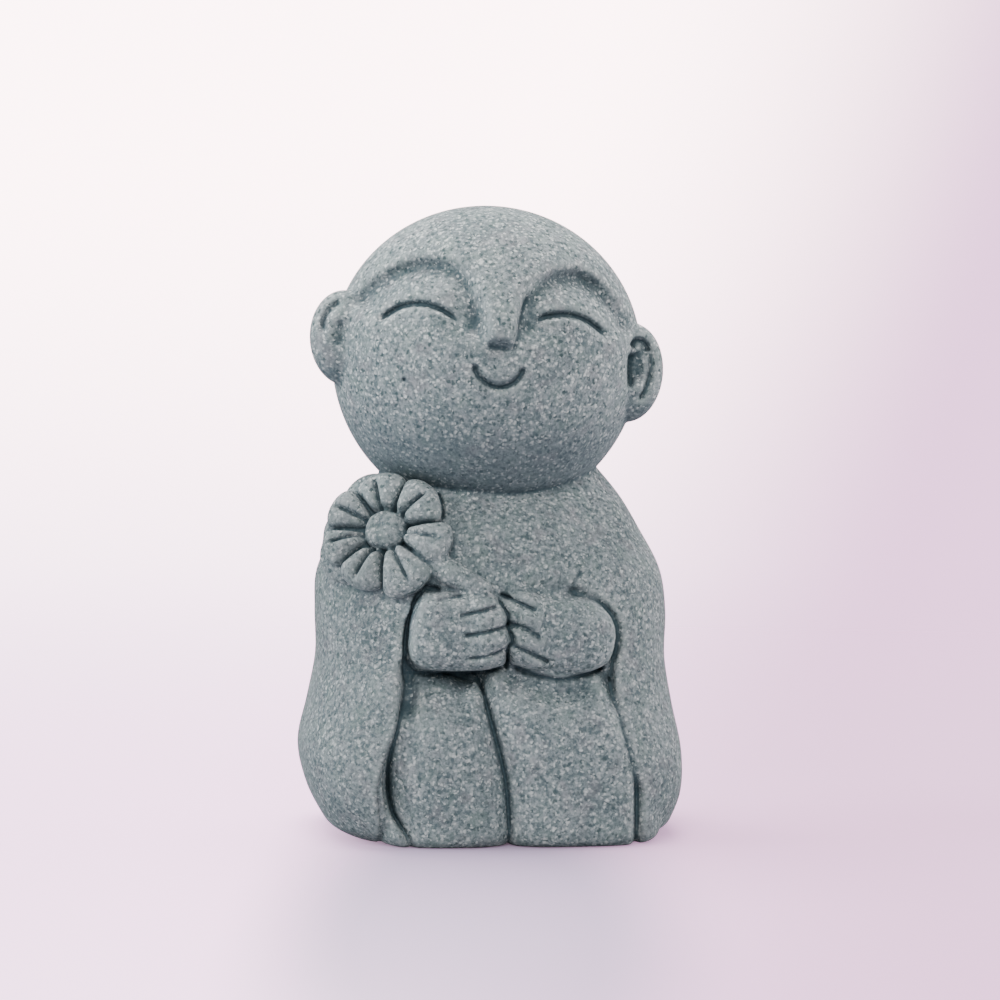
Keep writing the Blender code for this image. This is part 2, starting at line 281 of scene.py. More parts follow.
def groove(corners, half_width, depth, y_range, fade=0.0):
    """A soft groove along a line seen from the front, on what lies between the two y values.

    A pair of half widths, for the left and the right of the line as it is drawn, makes a
    slanting cut. fade is the share of the line over which each end runs out.
    """
    line = smooth_line(corners)
    left, right = half_width if isinstance(half_width, tuple) else (half_width, half_width)

    def pressed(x, y, z):
        gap, turn, share = measure_line(x, z, line)
        deep = depth * np.exp(-((gap / np.where(turn < 0, left, right)) ** 2))
        if fade:
            deep = deep * ease(0, fade, share) * ease(0, fade, 1 - share)
        return deep + 0 * y

    return (pressed, *box_round(line, y_range, STROKE_REACH * max(left, right)))


def carve(strokes, y_range, frame=STAND):
    """Presses a table of grooves: line, half width, depth, and share over which each end runs out."""
    for line, half_width, depth, fade in strokes:
        clay.press(groove(line, half_width, depth, y_range, fade), frame)


def ledge(corners, depth, y_range, reach, fade):
    """A low step along a line: what lies on the line's left is pressed down, as far as reach."""
    line = smooth_line(corners, count=24)
    step_from, step_to = -0.12, 0.2

    def pressed(x, y, z):
        _, turn, share = measure_line(x, z, line)
        return depth * ease(step_from, step_to, -turn) * ease(0, fade, share) + 0 * y

    return (pressed, *box_round(line, y_range, reach))


# %% [markdown]
# ## Robe
#
# The robe is a bell with rounded corners: wide at the foot, drawn in under the arms and closing
# towards the neck. Its levels give how far it reaches to each side at a height, and how square
# its plan is there. A lathe could not make it, because its front, back and sides differ.

# %% Robe levels
# height, reach to -X, reach to +X, reach to the front, reach to the back, squareness
ROBE_LEVELS = (
    (-3.0, 13.6, 15.0, 13.6, 14.0, 3.0),
    (0.0, 15.3, 16.6, 15.2, 15.4, 3.1),
    (1.5, 16.6, 17.6, 16.1, 16.2, 3.2),
    (4.5, 18.1, 18.6, 17.1, 17.0, 3.3),
    (8.5, 18.9, 18.65, 17.1, 17.2, 3.2),
    (13.0, 18.0, 17.8, 16.3, 16.7, 3.0),
    (17.5, 17.2, 17.2, 15.3, 16.0, 2.8),
    (22.0, 17.3, 17.4, 14.5, 15.3, 2.6),
    (26.0, 17.1, 16.9, 13.6, 14.2, 2.35),
    (30.0, 15.1, 14.9, 11.9, 12.4, 2.1),
    (33.5, 12.6, 12.8, 9.35, 10.2, 2.0),
    (38.0, 9.0, 9.0, 6.0, 7.0, 2.0),
)


# keeps the distance finite along the middle, where the robe has no slope
FLATTEST = 0.02


def robe(x, y, z):
    """The bell through the levels. Its four sides have their own reach at each height."""
    levels = smooth_rows(ROBE_LEVELS, z.ravel()).astype(np.float32)
    to_left, to_right, to_front, to_back, squareness = levels[:, 1:].T[:, None, None, :]
    across = np.abs(x) / np.where(x < 0, to_left, to_right)
    along = np.abs(y) / np.where(y < 0, to_front, to_back)
    size = (across**squareness + along**squareness) ** (1 / squareness)
    steepness = np.sqrt(sum(slope * slope for slope in np.gradient(size, GRAIN)))
    return (size - 1) / np.maximum(steepness, FLATTEST) + np.clip(z - ROBE_LEVELS[-1][0], 0, None)


robe_box = (BLOCK_LOW, (*BLOCK_HIGH[:2], ROBE_LEVELS[-1][0]))
clay.add((robe, *robe_box), blend=0.01)
clay.report("robe filled:")

# %% [markdown]
# ## Opening between the sleeves
#
# The two sleeves hang to the floor and leave an opening, in which the hands and the knees
# show. It is cut straight back from the front, with its outline drawn as two edges, and
# the cut is softened, because a cast edge is never sharp.

# %% Cut the opening
LEFT_SLEEVE_EDGE = (
    (-8.6, -3.0), (-9.4, 0.8), (-10.8, 2.9), (-11.4, 5.5), (-11.4, 8.5), (-10.7, 11.3), (-9.9, 14.0),
    (-9.6, 17.0), (-9.6, 19.6), (-9.2, 22.1), (-8.3, 24.5), (-7.2, 25.6),
)
RIGHT_SLEEVE_EDGE = (
    (6.9, 24.5), (8.4, 24.3), (10.1, 23.1), (11.0, 21.8), (11.4, 20.4), (11.1, 18.7), (10.6, 17.3),
    (10.4, 15.2), (10.9, 13.4), (11.6, 10.7), (12.3, 8.0), (12.8, 5.6), (12.8, 3.3), (12.8, -3.0),
)
OPENING_TOP = ((-5.4, 23.6), (6.4, 23.6))
OPENING_BACK = -12.3
INNER_ROUNDING, OUTER_ROUNDING = 0.8, 0.9


def opening(x, y, z):
    """What lies inside the outline and before the opening's back."""
    left = smooth_line(LEFT_SLEEVE_EDGE, count=24)
    right = smooth_line(RIGHT_SLEEVE_EDGE, count=30)
    outline = np.concatenate([left, np.array(OPENING_TOP), right])
    closed = np.concatenate([outline, outline[:1]])
    gap, _, _ = measure_line(x, z, closed)
    inside = np.zeros(gap.shape, bool)
    for (x0, z0), (x1, z1) in zip(closed, closed[1:]):
        if z0 != z1:
            inside ^= ((z0 > z) != (z1 > z)) & (x < x0 + (z - z0) * (x1 - x0) / (z1 - z0))
    return -melt(-np.where(inside, -gap, gap), OPENING_BACK - y, INNER_ROUNDING)


# a low step beside the left crease, where the sleeve's hem is turned in
HEM_LINE = (
    (-10.0, 15.3), (-10.4, 12.9), (-10.9, 11.4), (-11.5, 9.7), (-12.2, 7.8), (-12.6, 6.1), (-12.6, 4.9),
    (-12.4, 3.4), (-12.2, 1.5), (-12.1, -2.0),
)
HEM_STEP, HEM_WIDTH = 0.5, 2.2
# strokes on the front of the body reach from before it to this far back
BODY_FRONT = (FRONTMOST, -9)
opening_box = ((-14, FRONTMOST, -3), (14, OPENING_BACK, 26))
clay.cut((opening, *opening_box), blend=OUTER_ROUNDING)
clay.press(ledge(HEM_LINE, HEM_STEP, BODY_FRONT, HEM_WIDTH, fade=0.3))
clay.report("after the opening:")

# %% [markdown]
# ## Knees
#
# Under the cloth the knees make two broad, full lobes with a deep parting between them that
# wanders a little towards the foot. They fill the opening from one sleeve to the other and
# lean back as they rise, so the hands overhang them. Two filled-out eggs are enough, pushed
# sideways at each height so that both follow the parting.

# %% Knees and their parting
# middle and half sizes, with x measured from the parting
KNEES = (((-5.6, -7.6, 5.6), (7.6, 8.7, 14.0)), ((6.6, -7.6, 5.4), (8.9, 9.2, 14.0)))
KNEE_FULLNESS = 3.0
# how much wider the knees' boxes are made for the push sideways
PUSH_ROOM = 2.6
PARTING = ((-2.8, 17.6), (-2.0, 14.8), (-1.0, 10.9), (-0.1, 7.2), (0.3, 3.6), (0.5, -2.0))


def turned(axis, degrees, place=(0, 0, 0)):
    """A frame turned about its own axis at this place."""
    return np.array(Matrix.Translation(place) @ Matrix.Rotation(math.radians(degrees), 4, axis))


def beside_parting(form):
    """The form pushed sideways at each height, so that it follows the parting."""
    distance, low, high = form
    rows = [(z, x) for x, z in reversed(PARTING)]

    def shifted(x, y, z):
        return distance(x - smooth_rows(rows, z)[..., 1], y, z)

    spread = np.array((PUSH_ROOM, 0, 0))
    return shifted, low - spread, high + spread


for centre, half_sizes in KNEES:
    clay.add(beside_parting(egg(centre, half_sizes, KNEE_FULLNESS)), blend=0.25)
# two small rolls, where the knees' corners would leave too deep a pocket: line, radii, blend
KNEE_FILLS = (
    (((-3.2, -11.4, 18.0), (-2.6, -13.1, 14.3)), (1.5, 1.2), 0.8),
    (((10.2, -12.0, 17.5), (10.6, -12.6, 13.5)), (0.9, 0.8), 0.6),
)
for line, radii, blend in KNEE_FILLS:
    clay.add(roll(line, radii), blend)

# %% [markdown]
# The knees are still two plain lobes. Wide, shallow strokes let them fall back where the cloth
# does: along the parting, under both hands, beside the left crease, and in the corner under
# each sleeve. A smaller lobe would do it too, but would then leave a gap beside the sleeve.

# %% Where the knees fall back
UNDER_LEFT_HAND = ((-10.2, 16.4), (-7.0, 16.3), (-3.4, 16.5), (-0.9, 16.9))
BELOW_LEFT_HAND = ((-10.0, 14.9), (-6.5, 14.5), (-2.8, 15.0))
UNDER_RIGHT_HAND = ((-1.2, 16.4), (1.5, 16.1), (5.5, 15.1), (9.6, 16.0))
BESIDE_LEFT_CREASE = (
    (-9.8, 15.5), (-10.5, 11.3), (-11.2, 8.5), (-11.2, 5.5), (-10.6, 2.9), (-9.2, 0.8), (-8.4, -2.0)
)
UNDER_LEFT_SLEEVE = ((-9.5, 18.8), (-9.3, 15.4), (-9.9, 11.8))
UNDER_RIGHT_SLEEVE = ((10.2, 17.6), (10.0, 15.6), (10.6, 12.6))
KNEE_STROKES = (
    # line, half width, depth, share over which each end runs out, how far back it reaches
    (PARTING, 0.22, 0.45, 0.0, -8),
    (PARTING, 1.1, 0.25, 0.0, -8),
    (UNDER_LEFT_HAND, 1.3, 1.6, 0.3, -9),
    (BELOW_LEFT_HAND, 1.8, 1.25, 0.22, -9),
    (UNDER_RIGHT_HAND, 1.3, 1.3, 0.2, -9),
    (BESIDE_LEFT_CREASE, (2.3, 0.25), 0.9, 0.25, -9),
    (UNDER_LEFT_SLEEVE, 0.8, 2.1, 0.3, -11.5),
    (UNDER_RIGHT_SLEEVE, 0.8, 0.6, 0.4, -12),
)
for *stroke, back in KNEE_STROKES:
    carve([stroke], (FRONTMOST, back))
clay.report("with the knees:")

# %% [markdown]
# ## Hands
#
# Each forearm comes out of its sleeve as a soft bag and ends in a small fist. A few eggs,
# melted into each other, give both. Whole arms are not modelled, because the cloth hides them.

# %% Forearms
FOREARMS = (
    # middle, half sizes, tilt in degrees, fullness
    ((-4.7, -11.8, 21.0), (4.95, 4.3, 4.05), 2.0, 3.2),
    ((-2.0, -12.6, 20.9), (3.2, 3.9, 3.9), 6.0, 2.5),
    ((6.1, -11.8, 20.4), (5.0, 4.2, 4.0), 8.0, 2.5),
    ((2.9, -12.5, 20.8), (3.3, 3.7, 3.7), 10.0, 2.6),
    ((2.4, -12.6, 22.4), (3.4, 3.1, 2.6), 8.0, 2.4),
)
for centre, half_sizes, tilt, fullness in FOREARMS:
    clay.add(egg((0, 0, 0), half_sizes, fullness), blend=0.25, frame=turned("Y", tilt, centre))
clay.report("with the forearms:")

# %% [markdown]
# A sharp crease parts every form from the next one. Melting the lumps together has rounded
# these edges off, so each is scored again with one narrow stroke. A smaller fillet would be
# sharp as well, but would look machined.

# %% Creases along the sleeves
# the line, half width, depth, and the share of it over which each end runs out
CREASES = (
    (LEFT_SLEEVE_EDGE, 0.28, 0.55, 0.08),
    (RIGHT_SLEEVE_EDGE[1:], 0.32, 0.45, 0.1),
    (((-9.4, 17.0), (-6.5, 16.7), (-2.5, 16.8), (0.4, 17.7)), 0.28, 0.6, 0.15),
    (((0.6, 17.6), (2.9, 16.7), (5.8, 16.2), (9.0, 16.9), (10.3, 17.6)), 0.25, 0.5, 0.1),
    # the lower ends of both sleeves' creases
    (((-11.4, 7.5), (-11.4, 5.5), (-10.8, 2.9), (-9.4, 0.8), (-8.8, -2.0)), (0.25, 0.4), 0.15, 0.2),
    (((12.4, 7.6), (12.8, 5.6), (12.8, 3.3), (12.8, -3.0)), 0.5, 0.8, 0.25),
)
carve(CREASES, BODY_FRONT)
print("creases:", len(CREASES))

# %% [markdown]
# The fingers are only suggested: each is raised a little by a stroke with a negative depth,
# and a short stroke of the knife then parts each pair. Rolled one by one, such small fingers
# would melt together again.

# %% Fingers
# the stroke from inside the hand to where it leaves it, half width, depth
FINGER_STROKES = (
    ((-4.9, 22.6), (-2.6, 23.1), (-0.6, 23.6), 0.2, 0.5),
    ((-4.4, 20.7), (-2.2, 21.1), (0.3, 21.7), 0.2, 0.58),
    ((-4.0, 18.5), (-1.8, 18.8), (0.1, 19.6), 0.19, 0.48),
    ((-6.8, 24.1), (-5.3, 24.35), (-4.0, 24.5), 0.2, 0.35),
    ((3.1, 23.0), (0.9, 24.0), (-0.7, 24.7), 0.22, 0.6),
    ((3.4, 20.3), (1.6, 21.5), (-0.2, 21.8), 0.3, 0.65),
    ((4.4, 17.9), (2.3, 19.0), (0.4, 19.8), 0.26, 0.65),
)
# knuckle end, tip end, half width and how far the finger swells
FINGER_SWELLS = (
    ((-3.6, 23.7), (-0.8, 24.3), 0.75, 0.35),
    ((-3.2, 22.0), (0.0, 22.7), 0.75, 0.45),
    ((-3.0, 20.1), (0.2, 20.6), 0.8, 0.5),
    ((-2.8, 18.2), (0.0, 18.5), 0.7, 0.35),
    ((3.2, 24.0), (1.0, 24.8), 0.6, 0.3),
    ((3.6, 21.9), (1.2, 22.8), 0.8, 0.4),
    ((3.8, 19.6), (1.6, 20.5), 0.75, 0.4),
    ((4.0, 17.7), (1.6, 18.3), 0.65, 0.3),
)
HANDS_MEET = (
    (-0.8, 24.5), (-0.4, 23.6), (0.2, 22.6), (0.1, 21.5), (0.7, 20.2), (0.1, 19.4), (0.3, 18.2), (0.2, 16.8)
)
HAND_SPAN = (FRONTMOST, -12)
carve([(line, half_width, -swell, 0.2) for *line, half_width, swell in FINGER_SWELLS], HAND_SPAN)
carve([(HANDS_MEET, 0.2, 0.6, 0.1)], HAND_SPAN)
carve([(line, half_width, depth, 0.13) for *line, half_width, depth in FINGER_STROKES], HAND_SPAN)
print("fingers:", len(FINGER_SWELLS))

# %% [markdown]
# Small strokes settle the figure: the fold inside the elbow, the hollow between the chest
# and the arm, the line above the right hand, and the chest falling back under the chin. Long,
# soft folds down the back are pressed from behind. All are too shallow to be worth forms.

# %% Folds of the cloth
FRONT_FOLDS = (
    # line, half width, depth, share over which each end runs out, how far back it reaches
    (((8.0, 26.9), (7.3, 26.0), (6.8, 25.1)), 0.24, 0.4, 0.2, -9),
    (((8.9, 34.5), (8.5, 30.5), (7.2, 26.0)), 2.1, 0.4, 0.45, -6),
    (((0.6, 25.2), (3.4, 25.1), (6.8, 24.9), (9.0, 24.6)), 0.6, 0.45, 0.3, -9),
    (((-3.5, 34.3), (3.0, 34.4), (9.6, 35.6)), 1.5, 0.6, 0.4, -2),
)
BACK_FOLDS = (
    # line, half width, depth, share over which each end runs out
    (((-6.5, 33.0), (-8.2, 24.0), (-8.8, 12.0)), 1.7, 0.45, 0.3),
    (((6.5, 33.0), (8.2, 24.0), (8.8, 12.0)), 1.7, 0.45, 0.3),
    (((0.2, 31.0), (-0.3, 20.0), (0.2, 8.0)), 1.7, 0.45, 0.3),
)
for *stroke, back in FRONT_FOLDS:
    carve([stroke], (FRONTMOST, back))
carve(BACK_FOLDS, (4, BLOCK_HIGH[1]))
print("folds:", len(FRONT_FOLDS), "before,", len(BACK_FOLDS), "behind")

# %% [markdown]
# ## Head
#
# The head is nearly a ball, a little fuller below, and it leans to one side. A single egg
# would be as full above as below, so it is half of one egg over half of a longer one. All of
# its features are set out in its own frame, so they lean with it.

# %% Skull
HEAD_CENTRE = (-0.3, -0.5, 47.3)
HEAD_HALF_WIDTH, HEAD_HALF_DEPTH, HEAD_UP, HEAD_DOWN = 15.35, 14.5, 14.7, 16.0
HEAD_LEAN, HEAD_TURN = 5.5, -3.0
head_frame = np.array(
    Matrix.Translation(HEAD_CENTRE)
    @ Matrix.Rotation(math.radians(HEAD_TURN), 4, "Z")
    @ Matrix.Rotation(math.radians(HEAD_LEAN), 4, "Y")
)


def skull(x, y, z):
    """Half an egg above half a longer one."""
    upper, _, _ = egg((0, 0, 0), (HEAD_HALF_WIDTH, HEAD_HALF_DEPTH, HEAD_UP))
    lower, _, _ = egg((0, 0, 0), (HEAD_HALF_WIDTH, HEAD_HALF_DEPTH, HEAD_DOWN))
    return np.where(z > 0, upper(x, y, z), lower(x, y, z))


skull_box = ((-15.4, -14.6, -16), (15.4, 14.6, 14.8))
clay.add((skull, *skull_box), blend=0.2, frame=head_frame)
clay.report("with the head:")

# %% [markdown]
# Each ear is a flat oval with a rim. The left ear is turned forward and only dished, the right
# one has a deep hollow with a small pad in it. The rim could be a thin roll laid round the
# oval. Here the oval goes on whole and the hollow is carved out, which leaves the rim standing.

# %% Ears
# middle and half sizes, in the head's frame
LEFT_EAR = ((-14.2, -3.0, 0.4), (3.5, 2.8, 4.7))
RIGHT_EAR = ((14.0, -3.0, -0.4), (3.4, 2.6, 4.9))
LEFT_EAR_TILT = -8.0
left_ear_frame = head_frame @ turned("Y", LEFT_EAR_TILT, LEFT_EAR[0])
clay.add(egg((0, 0, 0), LEFT_EAR[1]), blend=0.5, frame=left_ear_frame)
clay.add(egg(*RIGHT_EAR), blend=0.4, frame=head_frame)
# the line, half width, depth, and the share of it over which each end runs out
EAR_STROKES = (
    (((-14.7, 4.1), (-15.6, 3.5), (-16.3, 2.5), (-16.5, 1.5), (-16.4, 0.6)), 0.32, 0.55, 0.2),
    (((-14.7, 2.4), (-14.9, 1.0), (-14.8, -0.6)), 0.55, 0.6, 0.3),
    (((13.8, 2.1), (14.2, 2.7), (14.8, 2.8), (15.4, 2.4), (15.7, 1.7)), (0.35, 0.65), 1.0, 0.12),
    (((15.7, 2.2), (16.0, 1.0), (16.0, -0.4), (15.7, -1.7), (15.1, -3.1)), 0.3, 0.75, 0.12),
    (((14.6, 1.2), (14.8, -0.4)), 0.9, 1.6, 0.0),
    (((13.9, 1.6), (13.9, 0.2), (14.2, -1.9)), 0.33, 0.9, 0.15),
    (((15.0, -0.9), (14.8, -1.8)), 0.6, -0.3, 0.0),
)
# only the front half of an ear is carved, so that no stroke breaks through behind
EAR_SPAN = (-9.0, -3.3)
carve(EAR_STROKES, EAR_SPAN, head_frame)
print("ears carved with", len(EAR_STROKES), "strokes")

# %% [markdown]
# ## Face
#
# The nose is a wedge that starts level with the forehead and stands proud only at its tip.
# On either side the brow drops into a shallow socket, which runs out again over the cheek. A
# socket could be cut with an egg, but its edge would be even all round. Here the drop follows
# the brow's own line, so it is steep above and beside the nose, and soft below.

# %% Nose and brows
NOSE_LEVELS = (
    # height, middle, half width, how far it stands out
    (1.1, 0.5, 1.1, 0.0), (1.9, 0.5, 1.25, 0.9), (2.8, 0.45, 1.35, 1.15), (4.2, 0.3, 1.4, 0.9),
    (6.2, 0.15, 1.6, 0.5), (9.0, 0.0, 2.2, 0.0),
)
LEFT_BROW = (
    (-14.2, 3.2), (-13.3, 4.7), (-12.2, 5.9), (-10.9, 7.1), (-8.9, 8.3), (-7.0, 8.8), (-4.9, 8.7),
    (-3.3, 7.9), (-2.5, 6.3), (-1.9, 4.4), (-1.5, 2.3), (-1.3, 1.2),
)
RIGHT_BROW = (
    (13.9, 3.2), (12.9, 4.9), (11.6, 6.4), (9.8, 8.1), (8.0, 8.9), (6.5, 9.0), (5.0, 8.7), (3.6, 7.7),
    (2.7, 6.2), (2.4, 4.8), (2.2, 3.0), (2.1, 1.4),
)
FACE_SPAN = (-18.0, -3.0)
# the nose's sides slope from inside its half width to outside it
SLOPE_INSIDE, SLOPE_OUTSIDE = -0.55, 0.75
# how far from the brow's line the hollow of an eye is worked out
BROW_REACH = 5.5


def nose(x, y, z):
    """A negative press, which raises the clay."""
    levels = smooth_rows(NOSE_LEVELS, z)
    middle, half_width, height = np.moveaxis(levels[..., 1:], -1, 0)
    past_side = np.abs(x - middle) - half_width
    return -height * (1 - ease(SLOPE_INSIDE, SLOPE_OUTSIDE, past_side)) + 0 * y


def brow(corners, side, depth, outer):
    """The hollow of an eye: steep under the brow and beside the nose, fading towards the cheek.

    side turns the line's signed side inwards. outer is the hollow's strength at its outer end.
    """
    line = smooth_line(corners, count=30)
    deepest_at, fades_over = 0.5, 2.1
    channel, channel_width = 0.12, 0.6

    def pressed(x, y, z):
        _, turn, share = measure_line(x, z, line)
        inward = turn * side
        wall = ease(-0.9, 0.85, inward)
        hollow = np.exp(-((np.clip(inward - deepest_at, 0, None) / fades_over) ** 2))
        hollow = hollow + channel * np.exp(-(((inward - deepest_at) / channel_width) ** 2))
        grows = outer + (1 - outer) * ease(0.1, 0.4, share)
        strength = ease(0, 0.1, share) * grows * ease(0, 0.12, 1 - share)
        return depth * wall * hollow * strength + 0 * y

    return (pressed, *box_round(line, FACE_SPAN, BROW_REACH))


nose_box = ((-3.6, FACE_SPAN[0], 1.2), (3.6, FACE_SPAN[1], 9.0))
clay.press((nose, *nose_box), head_frame)
clay.press(brow(LEFT_BROW, side=1, depth=1.15, outer=0.8), head_frame)
clay.press(brow(RIGHT_BROW, side=-1, depth=1.3, outer=0.6), head_frame)
NOSE_RIGHT = ((2.8, 7.0), (2.6, 6.2), (2.2, 5.0), (2.0, 3.6), (1.9, 2.4), (1.7, 1.4), (1.0, 0.8))
NOSE_LEFT = ((-2.6, 5.4), (-2.2, 4.0), (-1.8, 2.4), (-1.2, 0.8))
NOSE_UNDER = ((-1.0, 1.45), (0.0, 1.3), (1.5, 1.5))
NOSE_STROKES = (
    # line, half width, depth, share over which each end runs out
    (NOSE_RIGHT, (0.45, 0.22), 0.65, 0.2),
    (NOSE_LEFT, 0.5, 0.15, 0.25),
    (NOSE_UNDER, 0.6, 0.5, 0.2),
)
carve(NOSE_STROKES, FACE_SPAN, head_frame)
print("nose scored with", len(NOSE_STROKES), "strokes")

# %% [markdown]
# A closed, smiling eye is one curved stroke of the knife, and so is the mouth. The stroke has
# two half widths: one lip slopes gently and the other stays sharp, as when a tool is held at a
# slant. Modelled lids and lips would be lost at this size. The small round pit in the cheek is
# a flaw of the casting, and is kept.

# %% Eyes and mouth
LEFT_EYE = ((-11.6, 2.0), (-10.3, 3.3), (-9.1, 4.1), (-7.7, 4.5), (-6.2, 4.4), (-4.9, 3.9), (-3.3, 3.0))
RIGHT_EYE = ((3.2, 3.7), (4.6, 4.4), (6.0, 4.75), (7.5, 4.75), (9.1, 4.2), (11.3, 2.8))
MOUTH = ((-2.1, -0.5), (-1.7, -1.5), (-0.7, -2.35), (0.7, -2.7), (2.0, -2.15), (2.7, -1.3), (3.0, -0.3))
CHEEK_PIT = ((-8.45, -2.8), (-8.4, -2.8))
SMILE_STROKES = (
    # line, half width, depth, share over which each end runs out
    (LEFT_EYE, (0.45, 0.18), 1.0, 0.2),
    (RIGHT_EYE, (0.45, 0.18), 1.0, 0.2),
    (MOUTH, (0.42, 0.2), 0.75, 0.08),
    (CHEEK_PIT, 0.13, 0.6, 0.0),
)
carve(SMILE_STROKES, FACE_SPAN, head_frame)
clay.report("with the face:")

# %% [markdown]
# ## Flower
#
# Seven uneven, fat petals sit round a button, like a piecrust cut with a knife: each is a fan
# with a rounded rim, and one groove runs down its middle. The disc lies on the shoulder, so
# it faces up and out. Seven separate lumps would melt at the button, so one function gives
# the height of the whole flower at each bearing and distance from its middle.

# %% Petals
FLOWER_CENTRE = (-11.2, -9.6, 30.5)
FLOWER_FACING = (-0.42, -0.78, 0.42)
# where a petal starts and where its groove runs, in degrees round from the right and upwards,
# how far it reaches, and the depth of the groove
PETALS = (
    (-32, -8, 7.2, 0.45), (11, 45, 6.3, 0.95), (76, 109, 6.2, 0.85), (134, 158, 6.7, 0.7),
    (181, 197, 6.6, 0.7), (223, 248, 6.4, 0.95), (277, 304, 7.4, 0.65),
)
RIM_HEIGHT, RIM_ROUNDING, BACK_ROUNDING = 1.3, 0.9, 0.5
# a petal's reach at its corners, and how much further it reaches in the middle, as shares
FAN_CORNERS, FAN_BULGE = 0.84, 0.16
# how much the middle of a petal is raised, and how much the middle of the flower is sunk
PETAL_SWELL, FLOWER_DISH = 0.25, 0.25
# how much narrower the flower gets for each unit behind its face
TAPER = 0.35
# the petals' steep sides make distances look longer than they are, and this share corrects it
STEEP_SLOPES = 0.8


def facing_frame(centre, facing):
    """A frame whose -Y looks out along facing, with +Z up its face."""
    outward = Vector(facing).normalized()
    across = Vector((0, 0, 1)).cross(outward).normalized()
    upward = outward.cross(across).normalized()
    turn = Matrix((across, -outward, upward)).transposed().to_4x4()
    return np.array(Matrix.Translation(centre) @ turn)


PETALS_BOX = ((-7.8, -2.2, -7.8), (7.8, 3.2, 7.8))
# half width of a knife cut near the button, and how much finer it is towards the rim
CUT_WIDTH, CUT_FINER = 0.26, 0.06
# depth of the cuts between petals, and the share by which they get shallower at the rim
PARTING_DEPTH, PARTING_FADES = 1.15, 0.7
# the wide, shallow sides of each cut: half width, and share of the cut's depth
PARTING_LIPS, VEIN_LIPS = (0.6, 0.35), (0.6, 0.3)
# the gap to a cut grows only this many degrees away from it
WIDEST_BEARING = 60
# the ring pressed in round the button
MOAT_RADIUS, MOAT_WIDTH, MOAT_DEPTH = 2.1, 0.4, 0.8


def knife_cut(gap, cut_width, lips):
    """How deep a cut is at this gap from its line, from 0 to about 1."""
    lip_width, lip_share = lips
    return np.exp(-((gap / cut_width) ** 2)) + lip_share * np.exp(-((gap / lip_width) ** 2))


def petals(x, y, z):
    """All seven petals, with the partings between them and a groove down the middle of each."""
    radius = np.hypot(x, z)
    bearing = np.degrees(np.arctan2(z, x))
    edge = np.zeros_like(radius)
    top = np.zeros_like(radius)
    for (start, middle, reach, vein_depth), (end, *_) in zip(PETALS, PETALS[1:] + PETALS[:1]):
        width = (end - start) % 360
        along = (bearing - start) % 360
        inside = along < width
        from_side = np.minimum(along, width - along)
        share = np.clip(1 - 2 * from_side / width, 0, 1)
        fan = reach * (FAN_CORNERS + FAN_BULGE * (1 - share**2.6) ** 0.55)
        cut_width = CUT_WIDTH - CUT_FINER * ease(2.2, 5.0, radius)
        cut_depth = 1.0 - PARTING_FADES * ease(reach - 2.3, reach - 0.7, radius)
        gap = radius * np.sin(np.radians(np.minimum(from_side, WIDEST_BEARING)))
        from_vein = np.clip(along - (middle - start) % 360, -WIDEST_BEARING, WIDEST_BEARING)
        vein_gap = radius * np.sin(np.radians(from_vein))
        swell = RIM_HEIGHT * (1 - np.clip(radius / fan, 0, 1) ** 5) ** 0.6
        swell = swell + PETAL_SWELL * (1 - share * share)
        parting = knife_cut(gap, cut_width, PARTING_LIPS)
        vein = knife_cut(vein_gap, cut_width, VEIN_LIPS)
        vein = vein * ease(1.7, 2.4, radius) * ease(reach - 0.2, reach - 1.9, radius)
        swell = swell - PARTING_DEPTH * cut_depth * parting - vein_depth * vein
        edge = np.where(inside, fan, edge)
        top = np.where(inside, swell, top)
    moat = MOAT_DEPTH * np.exp(-(((radius - MOAT_RADIUS) / MOAT_WIDTH) ** 2))
    top = top - moat - FLOWER_DISH * ease(4.5, 2.2, radius)
    height = -y
    taper = TAPER * np.clip(-height, 0, None)
    rim = -melt(-(height - top), -(radius - edge + taper), RIM_ROUNDING)
    return -melt(-rim, height + PETALS_BOX[1][1], BACK_ROUNDING) * STEEP_SLOPES


# %% [markdown]
# Flat lumps behind the petals tie the flower to the shoulder, where separate petals would
# leave notches of daylight. The button is an egg with a dimple, and the stem is a roll that
# goes down into the left hand.

# %% Flower on the shoulder
flower_frame = facing_frame(FLOWER_CENTRE, FLOWER_FACING)
# flat lumps behind the petals fill the notches along the flower's left edge: degrees, size
BACKING = ((127, 3.1), (177, 2.9), (206, 3.3))
BACKING_RADIUS, BACKING_DEPTH = 4.2, 1.3
for bearing, size in BACKING:
    across, up = math.cos(math.radians(bearing)), math.sin(math.radians(bearing))
    place = (BACKING_RADIUS * across, BACKING_DEPTH, BACKING_RADIUS * up)
    clay.add(egg(place, (size, BACKING_DEPTH, size)), blend=0.4, frame=flower_frame)
clay.add((petals, *PETALS_BOX), blend=0.25, frame=flower_frame)
button = egg((0, 0.2, 0), (2.05, 1.5, 1.95), 2.4)
dimple = egg((-0.1, -1.9, 0.1), (0.6, 0.6, 0.6))
clay.add(button, blend=0.1, frame=flower_frame)
clay.cut(dimple, blend=0.5, frame=flower_frame)
STEM = ((-7.6, -11.9, 28.2), (-5.2, -13.2, 26.6), (-2.2, -13.9, 24.9))
clay.add(roll(STEM, (1.25, 1.25, 1.1)), blend=0.3)
UNDER_STEM = ((-7.9, 25.3), (-7.2, 25.1), (-6.0, 25.0))
BESIDE_PETAL = ((-5.9, 34.1), (-5.6, 33.0), (-5.7, 31.4))
carve([(UNDER_STEM, 0.3, 0.4, 0.2)], (FRONTMOST, -10))
carve([(BESIDE_PETAL, 0.2, 0.6, 0.15)], (-16, -6))
clay.report("with the flower:")

